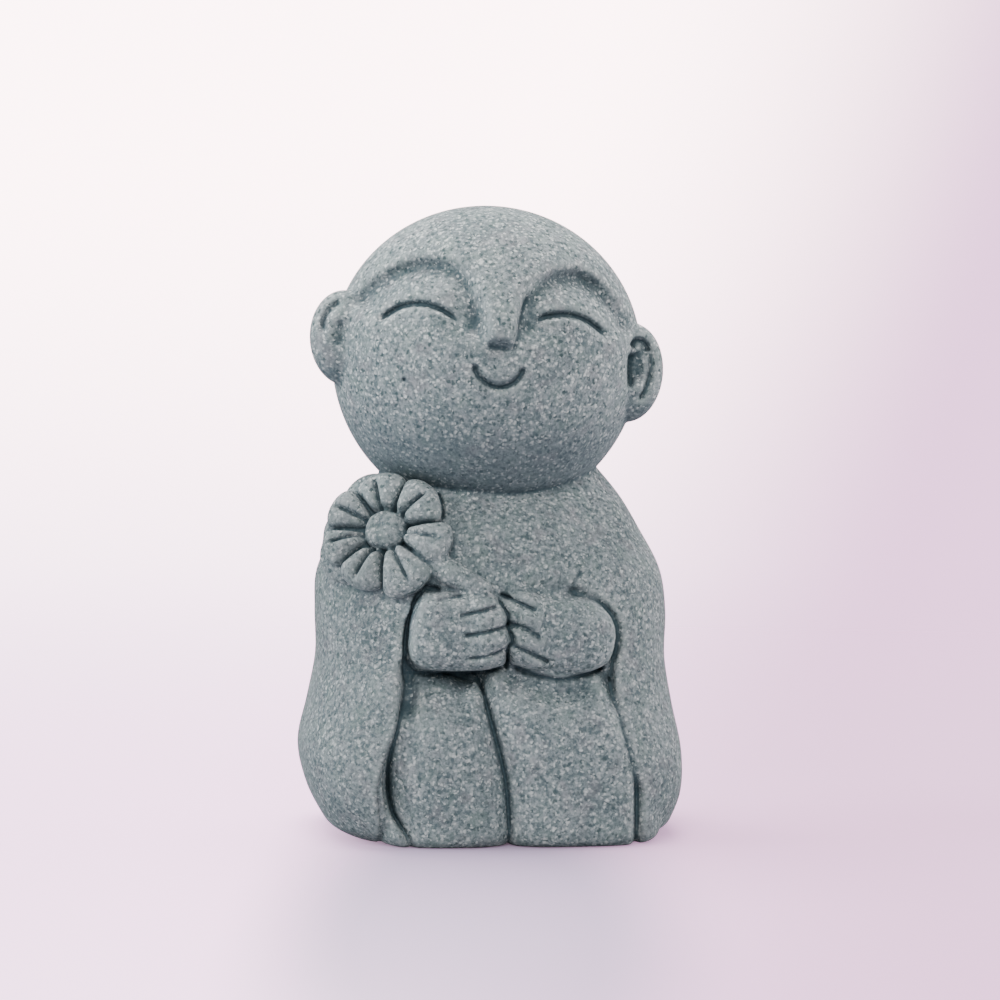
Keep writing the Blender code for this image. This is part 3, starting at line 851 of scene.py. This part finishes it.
# %% [markdown]
# ## Flat foot
#
# The casting stands on a flat foot with a worn, round edge. The clay runs on a little below
# the ground and is cut off level there. A plain cut would leave a rim like a knife's edge,
# while a soft one rounds it as well.

# %% Flat foot
FOOT_ROUNDING = 1.7
above_ground = BLOCK_LOW[2] + GRAIN * np.arange(clay.solid.shape[2], dtype=np.float32)
clay.solid = -melt(-clay.solid, above_ground[None, None, :], FOOT_ROUNDING)
clay.report("figure filled:")


# %% [markdown]
# ## Skin
#
# The clay is only numbers so far. Its skin runs where they change sign: each small cube of the
# grid that has clay at some corners and air at others gets one point, in the middle of where
# its edges are crossed, and every crossed edge gets a face between the four cubes round it.
# Metaballs would find a surface too, but can't be cut or scored.

# %% Skin
def skin_of(field, low, step):
    """The surface where the field is zero, as points and four-cornered faces."""
    inside = field < 0
    count = np.zeros([n - 1 for n in field.shape], np.int8)
    shifts = [(i, j, k) for i in (0, 1) for j in (0, 1) for k in (0, 1)]
    for shift in shifts:
        count += inside[tuple(slice(s, n - 1 + s) for s, n in zip(shift, field.shape))]
    at = np.nonzero((count > 0) & (count < 8))
    number = np.full(count.shape, -1, np.int32)
    number[at] = np.arange(len(at[0]), dtype=np.int32)
    values = {s: field[tuple(a + d for a, d in zip(at, s))] for s in shifts}
    total = np.zeros((len(at[0]), 3))
    crossings = np.zeros(len(at[0]))
    for start in shifts:
        for axis in range(3):
            if start[axis]:
                continue
            end = tuple(s + (i == axis) for i, s in enumerate(start))
            a, b = values[start], values[end]
            crossed = (a < 0) != (b < 0)
            share = np.where(crossed, a / np.where(crossed, a - b, 1), 0)
            for i in range(3):
                total[:, i] += crossed * (start[i] + (share if i == axis else 0))
            crossings += crossed
    points = low + step * (np.stack(at, 1) + total / crossings[:, None])
    faces = []
    for axis in range(3):
        ahead = [slice(1, n - 1) for n in field.shape]
        behind = list(ahead)
        ahead[axis], behind[axis] = slice(1, None), slice(0, -1)
        here, there = inside[tuple(behind)], inside[tuple(ahead)]
        spots = np.stack(np.nonzero(here != there), 1)
        offset = np.ones(3, int)
        offset[axis] = 0
        spots = spots + offset
        u, v = (axis + 1) % 3, (axis + 2) % 3
        ring = []
        for du, dv in ((-1, -1), (0, -1), (0, 0), (-1, 0)):
            cell = spots.copy()
            cell[:, u] += du
            cell[:, v] += dv
            ring.append(number[tuple(cell.T)])
        quads = np.stack(ring, 1)
        outward = inside[tuple(spots.T)]
        faces.append(np.where(outward[:, None], quads, quads[:, ::-1]))
    return points, np.concatenate(faces)


points, faces = skin_of(clay.solid, np.array(BLOCK_LOW), GRAIN)
print("skin:", len(points), "points,", len(faces), "faces")

# %% [markdown]
# ## Casting
#
# The skin of the clay has far more faces than a library piece should hold. Decimate takes them
# away where the surface is flat and keeps them in the grooves. A remesh would spread
# them evenly and blur the fingers.

# %% Mesh piece
MOST_TRIANGLES = 190_000
# the modifier counts in triangles, two to a four-cornered face
TRIANGLES_IN_FACE = 2


def mesh_of(name, points, faces):
    """A mesh in metres from points in working units."""
    mesh = bpy.data.meshes.new(name)
    mesh.vertices.add(len(points))
    mesh.vertices.foreach_set("co", (points * UNIT).astype(np.float32).ravel())
    mesh.loops.add(faces.size)
    mesh.loops.foreach_set("vertex_index", faces.astype(np.int32).ravel())
    mesh.polygons.add(len(faces))
    mesh.polygons.foreach_set("loop_start", np.arange(0, faces.size, faces.shape[1], dtype=np.int32))
    mesh.update(calc_edges=True)
    return mesh


casting = bpy.data.objects.new("monk_casting", mesh_of("monk_casting", points, faces))
bpy.context.scene.collection.objects.link(casting)
thinning = casting.modifiers.new("Thin out", "DECIMATE")
thinning.ratio = min(1.0, MOST_TRIANGLES / (TRIANGLES_IN_FACE * len(faces)))
evaluated = casting.evaluated_get(bpy.context.evaluated_depsgraph_get())
thinned = bpy.data.meshes.new_from_object(evaluated)
casting.modifiers.clear()
casting.data = thinned
thinned.shade_smooth()
print("casting:", len(thinned.vertices), "points,", len(thinned.polygons), "faces")

# %% [markdown]
# ## Hollows and edges
#
# The real finish is a stone-coloured paint rubbed back, so it stays dark in the grooves and
# wears pale on the edges. Over this, shade is painted into the hollows and a highlight onto the
# edges. Averaging the distances round a point tells hollows and edges apart: in a hollow there
# is more stone nearby than air. The averages are kept on the mesh as two attributes, one for
# small grooves and one for broad hollows. A pointiness node would see only the mesh's own
# corners, and would change with the number of faces.

# %% Hollow attributes
def softened(field, reach):
    """The field averaged over a small box, twice in each direction."""
    steps = max(1, round(reach / GRAIN))
    for axis in (0, 1, 2, 0, 1, 2):
        ends = [(0, 0)] * 3
        ends[axis] = (steps + 1, steps)
        total = np.cumsum(np.pad(field, ends, mode="edge"), axis=axis, dtype=np.float32)
        later = [slice(None)] * 3
        sooner = [slice(None)] * 3
        later[axis], sooner[axis] = slice(2 * steps + 1, None), slice(0, -2 * steps - 1)
        field = (total[tuple(later)] - total[tuple(sooner)]) / (2 * steps + 1)
    return field


def sampled(field, points):
    """The field's value at each of these points, in working units."""
    place = (points - np.array(BLOCK_LOW)) / GRAIN
    first = np.clip(np.floor(place).astype(int), 0, np.array(field.shape) - 2)
    share = place - first
    value = 0
    for corner in np.ndindex(2, 2, 2):
        weight = np.prod(np.where(corner, share, 1 - share), axis=1)
        value = value + weight * field[tuple((first + corner).T)]
    return value


places = np.empty(len(thinned.vertices) * 3, np.float32)
thinned.vertices.foreach_get("co", places)
places = places.reshape(-1, 3) / UNIT
# name, reach of the average, and how far from the surface distances still count
HOLLOWS = (("fine_hollow", 0.4, 0.9), ("broad_hollow", 1.5, 3.0))
for name, reach, within in HOLLOWS:
    surroundings = softened(np.clip(clay.solid, -within, within), reach)
    here = sampled(surroundings, places)
    layer = thinned.attributes.new(name, "FLOAT", "POINT")
    layer.data.foreach_set("value", (-here / reach).astype(np.float32))
    print(name, "from", round(float(-here.max() / reach), 2), "to", round(float(-here.min() / reach), 2))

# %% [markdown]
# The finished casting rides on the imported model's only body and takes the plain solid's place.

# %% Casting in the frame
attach(casting, "root")
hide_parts("monk_figure")
print("in the frame:", casting.name)

# %% [markdown]
# ## Shader maths in Python
#
# A finish is a small formula of noises and masks. Joining its nodes by hand, one line for each
# link, would hide the formula. So a wire, which is one output of a node, takes part in ordinary
# sums, and each sum adds its own Math node. A bench holds the nodes of one finish.

# %% Wire and bench
class Wire:
    """One output of a shader node."""

    def __init__(self, bench, socket):
        self.bench, self.socket = bench, socket

    def __add__(self, other):
        return self.bench.sum_of("ADD", self, other)

    def __sub__(self, other):
        return self.bench.sum_of("SUBTRACT", self, other)

    def __mul__(self, other):
        return self.bench.sum_of("MULTIPLY", self, other)

    def __rsub__(self, other):
        return self.bench.sum_of("SUBTRACT", other, self)

    __radd__ = __add__
    __rmul__ = __mul__


# the Mix node has sockets for numbers, vectors and colours, and the colours' ones have these numbers
FIRST_COLOUR, SECOND_COLOUR, MIXED_COLOUR = 6, 7, 2


class Bench:
    """The nodes of one material or of the world."""

    def __init__(self, owner):
        owner.use_nodes = True
        self.tree = owner.node_tree
        self.tree.nodes.clear()

    def node(self, kind, settings=None, inputs=None, output=0):
        """Adds a node: its settings first, then its sockets' values or wires. Returns one output."""
        made = self.tree.nodes.new(kind)
        for name, value in (settings or {}).items():
            setattr(made, name, value)
        for name, value in (inputs or {}).items():
            if isinstance(value, Wire):
                self.tree.links.new(value.socket, made.inputs[name])
            else:
                made.inputs[name].default_value = value
        return Wire(self, made.outputs[output]) if made.outputs else made

    def also(self, wire, output):
        """Another output of the node that this wire comes from."""
        return Wire(self, wire.socket.node.outputs[output])

    def sum_of(self, operation, first, second):
        """One Math node."""
        return self.node("ShaderNodeMath", {"operation": operation}, {0: first, 1: second})

    def between(self, value, low, high):
        """0 where the value is at low, 1 at high, and eased between."""
        settings = {"interpolation_type": "SMOOTHSTEP"}
        inputs = {"Value": value, "From Min": low, "From Max": high}
        return self.node("ShaderNodeMapRange", settings, inputs)

    def blend(self, share, first, second):
        """One colour over another."""
        inputs = {"Factor": share, FIRST_COLOUR: first, SECOND_COLOUR: second}
        return self.node("ShaderNodeMix", {"data_type": "RGBA"}, inputs, output=MIXED_COLOUR)

    def scaled(self, vector, share):
        """A colour or a vector made this many times as long."""
        return self.node("ShaderNodeVectorMath", {"operation": "SCALE"}, {0: vector, "Scale": share})

    def height_of(self, vector):
        """A vector's Z."""
        return self.node("ShaderNodeSeparateXYZ", inputs={0: vector}, output="Z")


# %% [markdown]
# ## Stone finish
#
# Close up, the casting looks like fine granite: a grey-green ground with pale and dark grains a
# third of a working unit across. Each grain is one cell of a Voronoi texture, whose random
# colour says whether that grain is pale, dark or neither. A painted texture would need
# unwrapping and would repeat, while cells in space run round the figure without a seam.

# %% Stone colours
# the ground between the grains runs from the dark tone to the light one
DARK_TONE = (0.094, 0.130, 0.140, 1)
LIGHT_TONE = (0.335, 0.375, 0.378, 1)
PALE_GRAIN = (0.72, 0.74, 0.72, 1)
DARK_GRAIN = (0.035, 0.065, 0.068, 1)
# the dark wash in the grooves, which also serves as painted shade in the hollows
WASH_AND_SHADE = (0.030, 0.058, 0.070, 1)
# worn paint and a painted highlight along the edges
WORN_EDGE_AND_HIGHLIGHT = (0.38, 0.42, 0.41, 1)
# painted shade on what faces the ground
PAINTED_UNDERSIDE_SHADE = (0.055, 0.08, 0.095, 1)
MOSS, ROSE = (0.20, 0.27, 0.24, 1), (0.27, 0.24, 0.26, 1)
print("ground:", DARK_TONE, "to", LIGHT_TONE)

# %% Noise and cells over the stone
finish = bpy.data.materials.new("speckled stone paint")
stone = Bench(finish)
in_metres = stone.node("ShaderNodeTexCoord", output="Object")
place = stone.scaled(in_metres, 1 / UNIT)


def cloud(scale, detail, roughness=0.5, output="Fac"):
    """Soft noise, with this many patches to a working unit."""
    inputs = {"Vector": place, "Scale": scale, "Detail": detail, "Roughness": roughness}
    return stone.node("ShaderNodeTexNoise", inputs=inputs, output=output)


# how far, in working units, the cells are pulled out of shape
CROOKED_BY = 0.55
crooked_place = stone.node(
    "ShaderNodeVectorMath",
    {"operation": "MULTIPLY_ADD"},
    {0: cloud(2.2, 2, 0.6, output="Color"), 1: (CROOKED_BY, CROOKED_BY, CROOKED_BY), 2: place},
)


def grains(scale, offset):
    """Crooked cells, this many to a working unit: a random tone for each, and the gap to its middle."""
    moved = stone.node("ShaderNodeVectorMath", {"operation": "ADD"}, {0: crooked_place, 1: offset})
    cells = stone.node("ShaderNodeTexVoronoi", inputs={"Vector": moved, "Scale": scale}, output="Color")
    tone = stone.node("ShaderNodeSeparateColor", inputs={"Color": cells})
    return tone, stone.also(cells, "Distance")


# %% [markdown]
# A cell becomes a grain only if its random tone is extreme, and only near its own middle, so
# grains are small, lie apart and differ in strength. Two sizes of pale grain are laid over one
# of dark grain, as in crushed stone. White noise alone would look like dust.

# %% Grains
coarse_tone, coarse_gap = grains(2.3, (0, 0, 0))
fine_tone, fine_gap = grains(3.8, (5.3, 1.7, 2.9))
pale = stone.between(coarse_tone, 0.78, 0.94) * stone.between(coarse_gap, 0.55, 0.2)
pale_fine = stone.between(fine_tone, 0.78, 0.92) * stone.between(fine_gap, 0.6, 0.3)
dark = stone.between(coarse_tone, 0.28, 0.12) * stone.between(coarse_gap, 0.65, 0.3)
print("nodes with the grains:", len(stone.tree.nodes))

# %% [markdown]
# The ground between the grains is mottled from a dark to a light tone, with a breath of green
# and of rose in broad patches. Pale edges come next, worn paint with a painted highlight, and
# the grains go on top of them. The robe has been rubbed less than the head, so its grains are a
# little weaker.

# %% Ground, worn and highlighted edges, and grains
mottle = cloud(0.2, 3)
fleck = cloud(2.1, 4, 0.8)
tint = cloud(0.5, 2)
fine_hollow = stone.node("ShaderNodeAttribute", {"attribute_name": "fine_hollow"}, output="Fac")
above_foot = stone.height_of(place)
# heights between which the head's finish passes into the robe's
CHIN_HEIGHT, SHOULDER_HEIGHT = 34.5, 32.0
on_robe = stone.between(above_foot, CHIN_HEIGHT, SHOULDER_HEIGHT)
rubbed = 1 - on_robe * 0.2
ground_tone = stone.between(fleck + (fine_tone - 0.5) * 0.24 + (mottle - 0.5) * 0.2, 0.30, 0.72)
colour = stone.blend(ground_tone, DARK_TONE, LIGHT_TONE)
LAYERS = (
    # share, colour laid over what is there
    (stone.between(tint, 0.5, 0.75) * 0.3, MOSS),
    (stone.between(tint, 0.5, 0.25) * 0.3, ROSE),
    # pale edges: worn paint and a painted highlight
    (stone.between(fine_hollow, 0.0, -0.25) * 0.3, WORN_EDGE_AND_HIGHLIGHT),
    (dark * rubbed * 0.78, DARK_GRAIN),
    (pale * rubbed * 0.8, PALE_GRAIN),
    (pale_fine * rubbed * 0.66, PALE_GRAIN),
)
for share, layer_colour in LAYERS:
    colour = stone.blend(share, colour, layer_colour)
print("nodes with the ground:", len(stone.tree.nodes))

# %% [markdown]
# The robe is a shade darker than the head, most of all on the outer sides of the sleeves, and
# what faces the ground from high up, such as the underside of the head, gets a cool, dark
# painted shade. These are broad, so heights and directions are enough to place them.

# %% Robe tone and painted shade underneath
aside = stone.node("ShaderNodeSeparateXYZ", inputs={0: place})
outer_left = stone.between(aside, -9.5, -13.0) * 0.16
outer_right = stone.between(aside, 9.5, 13.0) * 0.08
robe_shade = 1 - on_robe * (outer_left + outer_right + 0.1)
colour = stone.scaled(colour, robe_shade)
facing = stone.node("ShaderNodeNewGeometry", output="Normal")
upward = stone.height_of(facing)
# painted shade on surfaces that face down, between these heights
painted_underside_shade = stone.between(upward, -0.12, -0.66) * stone.between(above_foot, 20, 38) * 0.6
colour = stone.blend(painted_underside_shade, colour, PAINTED_UNDERSIDE_SHADE)
print("nodes with the robe's shade:", len(stone.tree.nodes))

# %% [markdown]
# The dark wash comes last. It lies in every groove, where it is partly a real wash and partly
# painted shade, and, more thinly, in the broad hollows between the forms, where it is painted
# shade. Pale grains show through it where a groove isn't deep. On the upward-facing flat below
# the throat most of the painted shade is taken out again. The two attributes say where the
# hollows are, and noise makes the edge ragged.

# %% Wash and painted shade in the hollows
broad_hollow = stone.node("ShaderNodeAttribute", {"attribute_name": "broad_hollow"}, output="Fac")
grains_show = 1 - (pale * 0.7 + pale_fine * 0.45) * stone.between(fine_hollow, 0.6, 0.3)
ragged = (fleck - 0.5) * 0.3
throat = stone.between(above_foot, 30, 33) * stone.between(above_foot, 38, 36)
throat = throat * stone.between(upward, 0.0, 0.4)
# painted shade: in the grooves a real wash and painted shade together, in the broad hollows painted shade
# alone
wash_and_shade = stone.between(fine_hollow + ragged, 0.08, 0.55) * grains_show * 0.78
painted_hollow_shade = stone.between(broad_hollow + ragged, 0.03, 0.5) * (1 - throat * 0.8)
painted_hollow_shade = painted_hollow_shade * grains_show * 0.58
colour = stone.blend(wash_and_shade, colour, WASH_AND_SHADE)
colour = stone.blend(painted_hollow_shade, colour, WASH_AND_SHADE)
print("nodes with the wash:", len(stone.tree.nodes))

# %% [markdown]
# The paint has a tooth: a fine bump of noise and of the grains themselves, under a coat that
# is nearly matt. Only the pale grains shine a little more. Real displacement of so fine a
# tooth would need millions of faces and look the same.

# %% Surface of the stone
tooth = cloud(2.6, 3, 0.6)
height = tooth + coarse_gap * 0.35 - dark * 0.3
TOOTH_HEIGHT = 0.12 * UNIT
bump = stone.node("ShaderNodeBump", inputs={"Height": height, "Strength": 0.55, "Distance": TOOTH_HEIGHT})
matt = 0.82 - pale * 0.12
coat = {"Base Color": colour, "Roughness": matt, "Specular IOR Level": 0.25, "Normal": bump}
body = stone.node("ShaderNodeBsdfPrincipled", inputs=coat)
stone.node("ShaderNodeOutputMaterial", inputs={"Surface": body})
casting.data.materials.append(finish)
print("stone finish:", len(stone.tree.nodes), "nodes")

# %% [markdown]
# ## Camera
#
# The camera stands half a metre off, a little to the left and a little above, as for a small
# thing on a table, and its lens is chosen so that the figure fills two thirds of the frame's
# height. Nearer, with a wider lens, the head would swell. Further off, it would look flat.

# %% Camera
CAMERA_DISTANCE = 0.5
CAMERA_TURN, CAMERA_RISE = math.radians(-6.5), math.radians(4.0)
FRAME_WIDTH = 99.5 * UNIT
# the middle of the frame lies this far to the right of the figure's middle, and above it
ASIDE, ABOVE = 1.1 * UNIT, 1.75 * UNIT
NEAREST_SEEN = CAMERA_DISTANCE / 50
back = Vector((
    math.sin(CAMERA_TURN) * math.cos(CAMERA_RISE),
    -math.cos(CAMERA_TURN) * math.cos(CAMERA_RISE),
    math.sin(CAMERA_RISE),
))
to_right = Vector((math.cos(CAMERA_TURN), math.sin(CAMERA_TURN), 0))
to_top = back.cross(to_right)
MIDDLE = Vector((0, 0, (foot.z + crown.z) / 2))
target = MIDDLE + ASIDE * to_right + ABOVE * to_top
camera_data = bpy.data.cameras.new("camera")
camera_data.lens = camera_data.sensor_width * CAMERA_DISTANCE / FRAME_WIDTH
camera_data.clip_start = NEAREST_SEEN
camera = bpy.data.objects.new("camera", camera_data)
camera.location = target + CAMERA_DISTANCE * back
camera.rotation_euler = back.to_track_quat("Z", "Y").to_euler()
bpy.context.scene.collection.objects.link(camera)
bpy.context.scene.camera = camera
print("lens:", round(camera_data.lens, 1), "mm")

# %% [markdown]
# ## Floor
#
# The figure stands on pale paper. The camera alone sees a painted glow in it, brighter on the
# left, and a soft, bluish painted shade just before the figure, which stands in for the figure's
# shadow and reflection on the paper. The paper turns clear further out, so that no horizon
# shows. A large lit sheet would throw light up under the chin, so what the paper sends to other
# surfaces is a quieter tone than what the camera sees.

# %% Floor colours and shape
FLOOR_RADIUS, FLOOR_CORNERS = 1.5, 96
PAPER, PAPER_IN_BOUNCES = (0.88, 0.52, 0.78, 1), (0.41, 0.40, 0.45, 1)
# painted shade on the paper before the figure, seen only by the camera
PAINTED_SHADE_ON_PAPER = (0.50, 0.40, 0.57, 1)
# tones of the painted glow at the left and at the right
PAINTED_GLOW_LEFT, PAINTED_GLOW_RIGHT = (1.35, 0.85, 1.25, 1), (0.05, 0.0, 0.05, 1)
bpy.ops.mesh.primitive_circle_add(
    vertices=FLOOR_CORNERS, radius=FLOOR_RADIUS, fill_type="NGON", location=(0, 0, foot.z)
)
floor = bpy.context.object
floor.rotation_euler.z = CAMERA_TURN
floor.name = "floor"
print("floor:", 2 * FLOOR_RADIUS, "m across")

# %% Paper
# the painted shade is a disc drawn out from front to back and moved forwards: what each
# direction counts for, and the shift in metres
SHADE_SQUEEZE, SHADE_SHIFT = (1.0, 0.18, 1.0), (0.001, 0.012, 0)
SHADE_OUTER, SHADE_INNER = 0.024, 0.010
# distances from the middle, in metres, between which the paper turns clear
CLEAR_FROM, CLEAR_BY = -0.02, 0.35
# where, in metres, the painted glow passes from its left tone to its right one
GLOW_LEFT, GLOW_RIGHT = -0.035, 0.045
GLOW = 1.4
paper = bpy.data.materials.new("pale paper")
sheet = Bench(paper)


def length_of(vector):
    """How long a vector is."""
    return sheet.node("ShaderNodeVectorMath", {"operation": "LENGTH"}, {0: vector}, output="Value")


across_floor = sheet.node("ShaderNodeTexCoord", output="Object")
in_view = sheet.node("ShaderNodeLightPath", output="Is Camera Ray")
before_figure = sheet.node(
    "ShaderNodeVectorMath",
    {"operation": "MULTIPLY_ADD"},
    {0: across_floor, 1: SHADE_SQUEEZE, 2: SHADE_SHIFT},
)
painted_shade = sheet.between(length_of(before_figure), SHADE_OUTER, SHADE_INNER)
seen_paper = sheet.blend(painted_shade, PAPER, PAINTED_SHADE_ON_PAPER)
paper_colour = sheet.blend(in_view, PAPER_IN_BOUNCES, seen_paper)
matte = sheet.node("ShaderNodeBsdfDiffuse", inputs={"Color": paper_colour})
to_the_right = sheet.node("ShaderNodeSeparateXYZ", inputs={0: across_floor})
painted_glow_tone = sheet.blend(sheet.between(to_the_right, GLOW_LEFT, GLOW_RIGHT), PAINTED_GLOW_LEFT, PAINTED_GLOW_RIGHT)
painted_glow_light = sheet.scaled(painted_glow_tone, in_view * (1 - painted_shade) * GLOW)
# painted glow: an emission that only the camera sees and that lights nothing
painted_glow = sheet.node("ShaderNodeEmission", inputs={"Color": painted_glow_light, "Strength": 1.0})
table = sheet.node("ShaderNodeAddShader", inputs={0: matte, 1: painted_glow})
clear = sheet.node("ShaderNodeBsdfTransparent")
fading = sheet.between(length_of(across_floor), CLEAR_FROM, CLEAR_BY)
mixed = sheet.node("ShaderNodeMixShader", inputs={0: fading, 1: table, 2: clear})
sheet.node("ShaderNodeOutputMaterial", inputs={"Surface": mixed})
floor.data.materials.append(paper)
print("paper:", len(sheet.tree.nodes), "nodes")

# %% [markdown]
# ## Surround
#
# Two things surround the figure. The camera sees a bright backdrop, which darkens downwards and
# towards the right. The stone is lit by something else, a dim overcast sky, because so bright
# a backdrop all round would wash the shadows out. Is Camera Ray chooses between the two.

# %% Surround
BACKDROP_HIGH, BACKDROP_LOW = (10.5, 7.6, 7.9, 1), (4.9, 3.5, 4.6, 1)
BACKDROP_RIGHT = (2.5, 1.35, 2.25, 1)
SKY, GROUND = (0.92, 0.98, 1.04, 1), (0.12, 0.14, 0.17, 1)
SKY_STRENGTH = 0.42
# the edge towards the darker right leans by this share of the height
LEANS_BY = 0.3
surround = bpy.data.worlds.new("pale surround")
bpy.context.scene.world = surround
air = Bench(surround)
seen = air.node("ShaderNodeLightPath", output="Is Camera Ray")
heading = air.node("ShaderNodeTexCoord", output="Generated")
rightward = air.node("ShaderNodeSeparateXYZ", inputs={0: heading})
level = air.height_of(heading)
overcast = air.blend(air.between(level, -0.4, 0.6), GROUND, SKY)
glow = air.node("ShaderNodeBackground", inputs={"Color": overcast, "Strength": SKY_STRENGTH})
backdrop = air.blend(air.between(level, 0.01, -0.12), BACKDROP_HIGH, BACKDROP_LOW)
backdrop = air.blend(air.between(rightward - level * LEANS_BY, 0.12, 0.22), backdrop, BACKDROP_RIGHT)
shown = air.node("ShaderNodeBackground", inputs={"Color": backdrop, "Strength": 1.0})
mixed_air = air.node("ShaderNodeMixShader", inputs={0: seen, 1: glow, 2: shown})
air.node("ShaderNodeOutputWorld", inputs={"Surface": mixed_air})
print("surround:", len(air.tree.nodes), "nodes")

# %% [markdown]
# ## Lamps
#
# Four square softboxes do the lighting. The overhead one models the crown and the shoulders,
# the front one opens the face, and a cool one at the left and a warm one at the right draw
# the two sides of the robe. Small lamps would cut hard shadows into so rough a skin.

# %% Lamps
LAMPS = (
    # name, place in metres, side of the square, power in watts, colour
    ("overhead softbox", (-0.05, 0.20, 0.60), 0.5, 8.0, (1.0, 0.98, 0.965)),
    ("front softbox", (-0.06, -0.54, 0.36), 0.5, 3.55, (1.0, 0.98, 0.98)),
    ("left softbox", (-0.54, 0.04, 0.14), 0.4, 3.6, (0.90, 0.96, 1.0)),
    ("right softbox", (0.54, 0.14, 0.0), 0.4, 4.7, (1.0, 0.95, 0.97)),
)


def lamp(name, place, size, power, colour):
    """A square lamp in the air that faces the figure's middle."""
    data = bpy.data.lights.new(name, "AREA")
    data.shape, data.size, data.energy, data.color = "SQUARE", size, power, colour
    made = bpy.data.objects.new(name, data)
    made.location = place
    made.rotation_euler = (Vector(place) - MIDDLE).to_track_quat("Z", "Y").to_euler()
    bpy.context.scene.collection.objects.link(made)


for settings in LAMPS:
    lamp(*settings)
print("lamps:", len(LAMPS))
